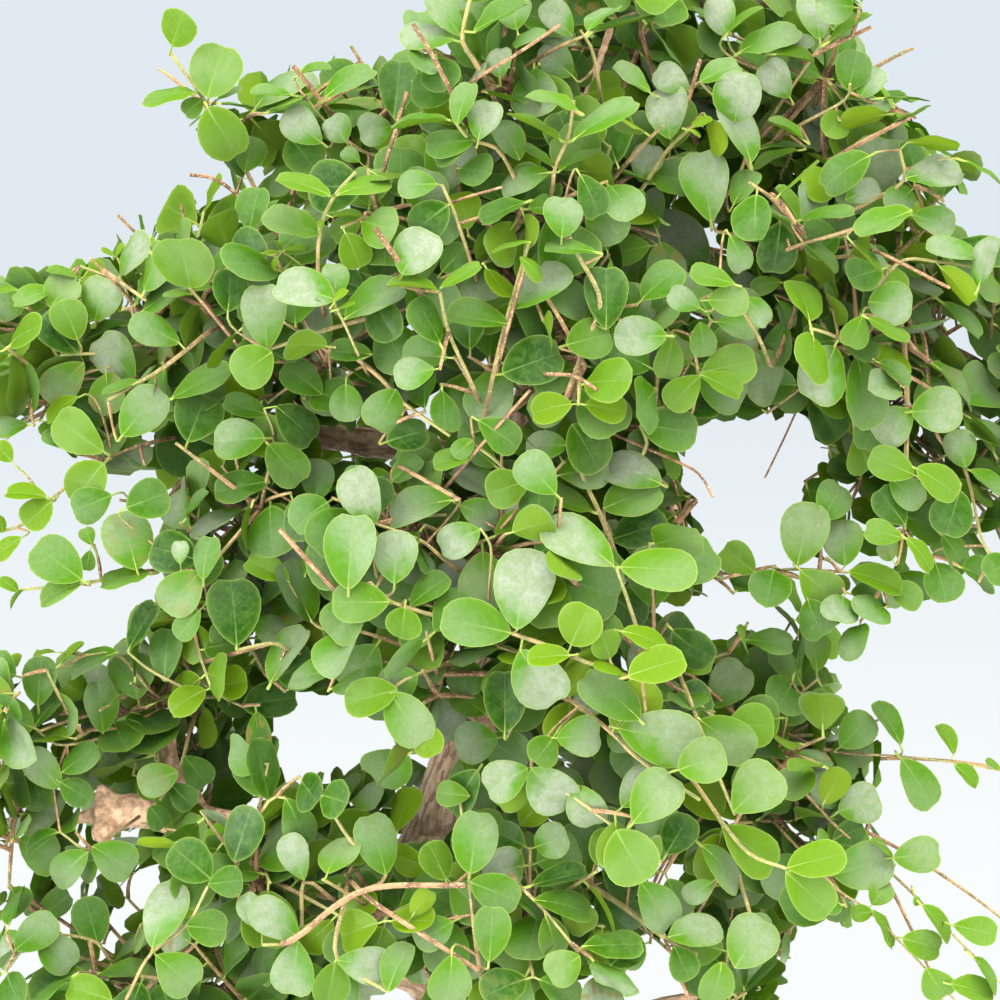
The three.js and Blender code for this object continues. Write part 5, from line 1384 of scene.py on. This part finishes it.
FULL_WIDTH = 0.95
NARROWEST, WIDEST = 0.74, 1.05
OWN_SHOOT = 5
front = Vector((0, -1, 0))


def join_stem(spray, pixels, foot_depth, tip_depth):
    """A smooth line of a shoot from the nearest main stem of its spray, kept clear where it shows."""
    depths = np.linspace(foot_depth, tip_depth, len(pixels))
    points = [sight(x, y, depth) for (x, y), depth in zip(pixels, depths)]
    own = np.vstack([wood_lines[limb_of[spray]][0], *main_lines[spray]])
    backward = (points[0] - points[1]).normalized()
    back = points[0] + backward * 16 + Vector((0, 10, 0))
    nearest = Vector(own[np.argmin(np.linalg.norm(own - np.array(back), axis=1))])
    gap = (points[0] - nearest).length
    hidden = points[0] + backward * min(7, 0.4 * gap) + Vector((0, min(9, 0.6 * gap), 0))
    turn = hidden + backward * gap * 0.15 + Vector((0, 0.4 * gap, 0))
    joint = bent(nearest, hidden, turn)[::2]
    line = through([*map(tuple, joint), *map(tuple, points)], 3)[0]
    shown_part = line[np.argmin(np.linalg.norm(line - np.array(points[0]), axis=1)):]
    keep_clear(shown_part, shown_part[:, 1])
    return line


def picture_leaf(spray, stem_line, lift, start, end, wide, tone, age):
    """Sets a leaf where the picture has it, turned so that it shows as long and wide as there."""
    foot = Vector(stem_line[np.argmin(np.linalg.norm(seen(stem_line) - start, axis=1))])
    base, tip = sight(*start, foot.y + lift), sight(*end, foot.y + lift)
    span = tip - base
    gap = (base - foot).length
    if gap > OWN_SHOOT:
        start_of_shoot, foot = foot, base - span.normalized() * 1.8 + Vector((0, 1.5, 0))
        turn = foot - span.normalized() * 0.2 * gap + Vector((0, 0.4 * gap, 0))
        add_twig(spray, bent(start_of_shoot, foot, turn), 0.42, 0.36, 1)
    broad = abs(wide) * pixel_at(foot.y)
    narrow = min(WIDEST, max(NARROWEST, broad / span.length / FULL_WIDTH))
    length = max(span.length, broad / (FULL_WIDTH * narrow))
    lean = math.acos(span.length / length)
    out = span.normalized() * math.cos(lean) + front * math.sin(lean)
    face = (front - out * out.dot(front)).normalized()
    if wide < 0:
        face.negate()
    roll = math.acos(min(1, broad / (FULL_WIDTH * narrow * length)))
    turned = [Matrix.Rotation(way * roll, 3, out) @ face for way in (-1, 1)]
    face = max(turned, key=lambda way: way.z) + (TO_WINDOW if tone > 0.65 else FROM_WINDOW)
    add_leaf(
        spray, foot, out, face, length, age, must=True, base=base, tone=tone, wide=narrow,
        twist=dice.uniform(-0.1, 0.1), chance=0.95 if age == 0.1 and tone == 0.6 else dice.random() * 0.9,
    )
    keep_clear(flat_leaf(base, out, face.cross(out), length), foot.y + lift)


for spray, foot_depth, tip_depth, radius, pixels, shown in PICTURE_SHOOTS:
    line = join_stem(spray, pixels, foot_depth, tip_depth)
    add_twig(spray, line, radius, 0.6 * radius, 0.6)
    for number, (x1, y1, x2, y2, wide, tone, age) in enumerate(shown):
        picture_leaf(spray, line, -LAYER * (number - 0.3), (x1, y1), (x2, y2), wide, tone, age)
for spray, foot_depth, tip_depth, radius, pixels in CLIPPED_SHOOTS:
    add_twig(spray, join_stem(spray, pixels, foot_depth, tip_depth), radius, 0.8 * radius, 0)

for name, lines in main_lines.items():
    for line in lines:
        reach = np.linalg.norm(line[-1] - line[0])
        leaf_pairs(name, line, 0.3 * reach, 1.0, dice.choice((0, 0, 0.3, 0.7)))

# Side shoots, set about evenly over the crown. Each leaves one of its spray's main shoots, and
# stays off the tips that are there already.
SIDE_ROUNDS = 70
TIP_ROOM, TIP_REACH = 10, 4
SHOOT_LENGTH = 12, 40
STEM_IN_SKY, STEM_HIDING = 0.1, 0.08
FRONT_LIMIT = -100
room_low, room_high = model_box(TIP_REACH)
tips = [Vector(line[-1]) for lines in main_lines.values() for line in lines]
for turn in range(SIDE_ROUNDS):
    for name in limb_of:
        line = dice.choice(main_lines[name])
        start = Vector(line[dice.randrange(1, len(line))])
        light = light_at(start)
        way = light * 0.55 + Vector([dice.gauss(0, 0.75) for _ in range(3)])
        tip = start + way.normalized() * dice.uniform(*SHOOT_LENGTH)
        if any((tip - other).length < TIP_ROOM for other in tips):
            continue
        spot = np.array([tip])
        if sky_share(spot) or (spot < room_low).any() or (spot > room_high).any() or tip.y < FRONT_LIMIT:
            continue
        reach = (tip - start).length
        stem_line = bent(start, tip, start.lerp(tip, 0.45) + light * 0.12 * reach)
        if sky_share(stem_line) > STEM_IN_SKY or hiding_share(stem_line) > STEM_HIDING:
            continue
        tips.append(tip)
        young = dice.choice((0, 0, 0, 0.25, 0.5, 0.9))
        size = dice.uniform(0.88, 1.12)
        leafy_shoot(name, stem_line, (0.8, 0.45), 0.3 + young * 0.6, 0.25 * reach, size, young)

# Last, short shoots close what gaps the picture would show in the crown.
GAP_STEP, GAP_START, PICTURE_SIZE = 14, 6, 1000
GAP_COVERED, GAP_HIDING = 0.4, 0.3
GAP_REACH = 46
BACK_FROM, BACK_COST = 30, 200
feet = np.vstack([line for shoots in twigs.values() for line, radii, young in shoots])
foot_owner = [name for name, shoots in twigs.items() for line, radii, young in shoots for _ in line]
feet_seen = seen(feet)
# A foot further back counts as further away, and one at the back of the crown much further
depth_cost = feet[:, 1] * 0.25 + BACK_COST * (feet[:, 1] >= BACK_FROM)
for y in range(GAP_START, PICTURE_SIZE, GAP_STEP):
    for x in range(GAP_START, PICTURE_SIZE, GAP_STEP):
        column, row = (x - SKY_START) // SKY_STEP, (y - SKY_START) // SKY_STEP
        around = covered[column - 1:column + 2, row - 1:row + 2]
        if around.mean() > GAP_COVERED or sky[column, row]:
            continue
        apart = np.linalg.norm(feet_seen - (x, y), axis=1) + depth_cost
        number = int(np.argmin(np.where(apart > GAP_STEP, apart, 1e9)))
        start, name = Vector(feet[number]), foot_owner[number]
        tip = sight(x, y, start.y - 4)
        reach = (tip - start).length
        if reach > GAP_REACH:
            continue
        line = bent(start, tip, start.lerp(tip, 0.5) + light_at(start) * 0.15 * reach)
        if sky_share(line) > STEM_IN_SKY or hiding_share(line) > GAP_HIDING:
            continue
        leafy_shoot(name, line, (0.7, 0.45), 0.2, 0.45 * reach, 1, 0)

# Each spray becomes two pieces, its twigs and its leaves.
for name in limb_of:
    stems = [tube(line, radii, TWIG_SIDES) for line, radii, young in twigs[name]]
    green = [young * np.linspace(0, 1, len(line)) ** 2 for line, radii, young in twigs[name]]
    piece = add_piece(f"{name}_twigs", *joined(stems), "bark", [f"spray_{name}"])
    mark(piece, "fresh", np.repeat(np.hstack(green), TWIG_SIDES))
    piece.data.materials.append(twig_look)

    bodies, on_blades, below, kinds = [], [], [], []
    for form, fine in ((fine_blade, True), (plain_blade, False)):
        group = [leaf for leaf in leaves[name] if leaf["fine"] == fine]
        if not group:
            continue
        kind = np.array([[leaf["tone"], leaf["age"], leaf["chance"]] for leaf in group])
        for points, faces, blade, under in (spread_blades(group, form), spread_stalks(group)):
            bodies.append((points, faces))
            on_blades.append(blade)
            below.append(under)
            kinds.append(np.repeat(kind, len(points) // len(group), axis=0))
    piece = add_piece(f"{name}_leaves", *joined(bodies), "foliage", [f"spray_{name}"], sharp=32)
    mark(piece, "blade", np.vstack(on_blades))
    mark(piece, "leaf", np.vstack(kinds))
    mark(piece, "under", np.hstack(below))
    piece.data.materials.append(foliage)

# A pale floor, which fades out before the picture's lower edge, stands the pot in a bright studio.
FLOOR_RINGS = [0.2, 0.4, 0.55, 0.7, 0.8, 0.88]
FLOOR_LEVEL = -0.0002
FLOOR_SIDES = 96
turns = [2 * math.pi * k / FLOOR_SIDES for k in range(FLOOR_SIDES)]
points = [(0, 0, FLOOR_LEVEL)]
points += [(r * math.cos(turn), r * math.sin(turn), FLOOR_LEVEL) for r in FLOOR_RINGS for turn in turns]
faces = [(0, 1 + k, 1 + (k + 1) % FLOOR_SIDES) for k in range(FLOOR_SIDES)]
faces += bands(len(FLOOR_RINGS), FLOOR_SIDES, 1)
mesh = bpy.data.meshes.new("floor")
mesh.from_pydata(points, [], faces)
floor = bpy.data.objects.new("floor", mesh)
scene.collection.objects.link(floor)
floor_look, tree = new_look("floor")
place = shade(tree, "TexCoord").outputs["Object"]
out = shade(tree, "VectorMath", {0: place}, operation="LENGTH").outputs["Value"]
paper = mixed(tree, ramp(tree, grain(tree, 40), 0.3, 0.7), (0.80, 0.82, 0.83), (0.83, 0.845, 0.855))
gone = shade(tree, "BsdfTransparent").outputs[0]
fading = {0: ramp(tree, out, 0.5, 0.86), 1: surface(tree, paper, 0.9), 2: gone}
finish_look(tree, shade(tree, "MixShader", fading).outputs[0])
mesh.materials.append(floor_look)

# Soft studio light: pale walls all round and brighter above and behind, a broad lamp over the front,
# and on the left a lamp like a window, the one light that shows in the sheen of the leaves.
world = bpy.data.worlds.new("studio")
scene.world = world
world.use_nodes = True
tree = world.node_tree
tree.nodes.clear()
across, behind, height = parts(tree, shade(tree, "TexCoord").outputs["Generated"])
wall = mixed(tree, ramp(tree, height, -0.16, 0.1), (0.955, 0.985, 0.985), (0.75, 0.82, 0.875))
backdrop = shade(tree, "Background", {"Color": wall, "Strength": 1.0}).outputs[0]
light = ramp(tree, height, -0.35, 0.85, 3.3, 5.2)
light = worked(tree, "ADD", light, ramp(tree, behind, -0.6, 1, 0, 0.6))
rays = shade(tree, "LightPath").outputs
strengths = {0: rays["Is Glossy Ray"], 2: light, 3: 0.15}
strength = shade(tree, "Mix", strengths, data_type="FLOAT").outputs[0]
glow = shade(tree, "Background", {"Color": (1.0, 1.0, 0.95), "Strength": strength}).outputs[0]
both = shade(tree, "MixShader", {0: rays["Is Camera Ray"], 1: glow, 2: backdrop}).outputs[0]
shade(tree, "OutputWorld", {"Surface": both})
scene.view_settings.view_transform = "Standard"


def add_lamp(name, place, size, power, colour, sheen):
    """A square lamp that shines on the crown, and shows in what is glossy if it has sheen."""
    lamp = bpy.data.objects.new(name, bpy.data.lights.new(name, "AREA"))
    lamp.visible_glossy = sheen
    scene.collection.objects.link(lamp)
    lamp.location = place
    aim = Vector((0, 0, 0.32)) - Vector(place)
    lamp.rotation_euler = aim.to_track_quat("-Z", "Y").to_euler()
    lamp.data.size = size
    lamp.data.energy = power
    lamp.data.color = colour


add_lamp("top", (0.55, -0.8, 2.0), 1.9, 104, (1, 0.99, 0.93), False)
add_lamp("window", (-1.45, -1.35, 0.5), 1.4, 62, (1, 0.99, 0.95), True)
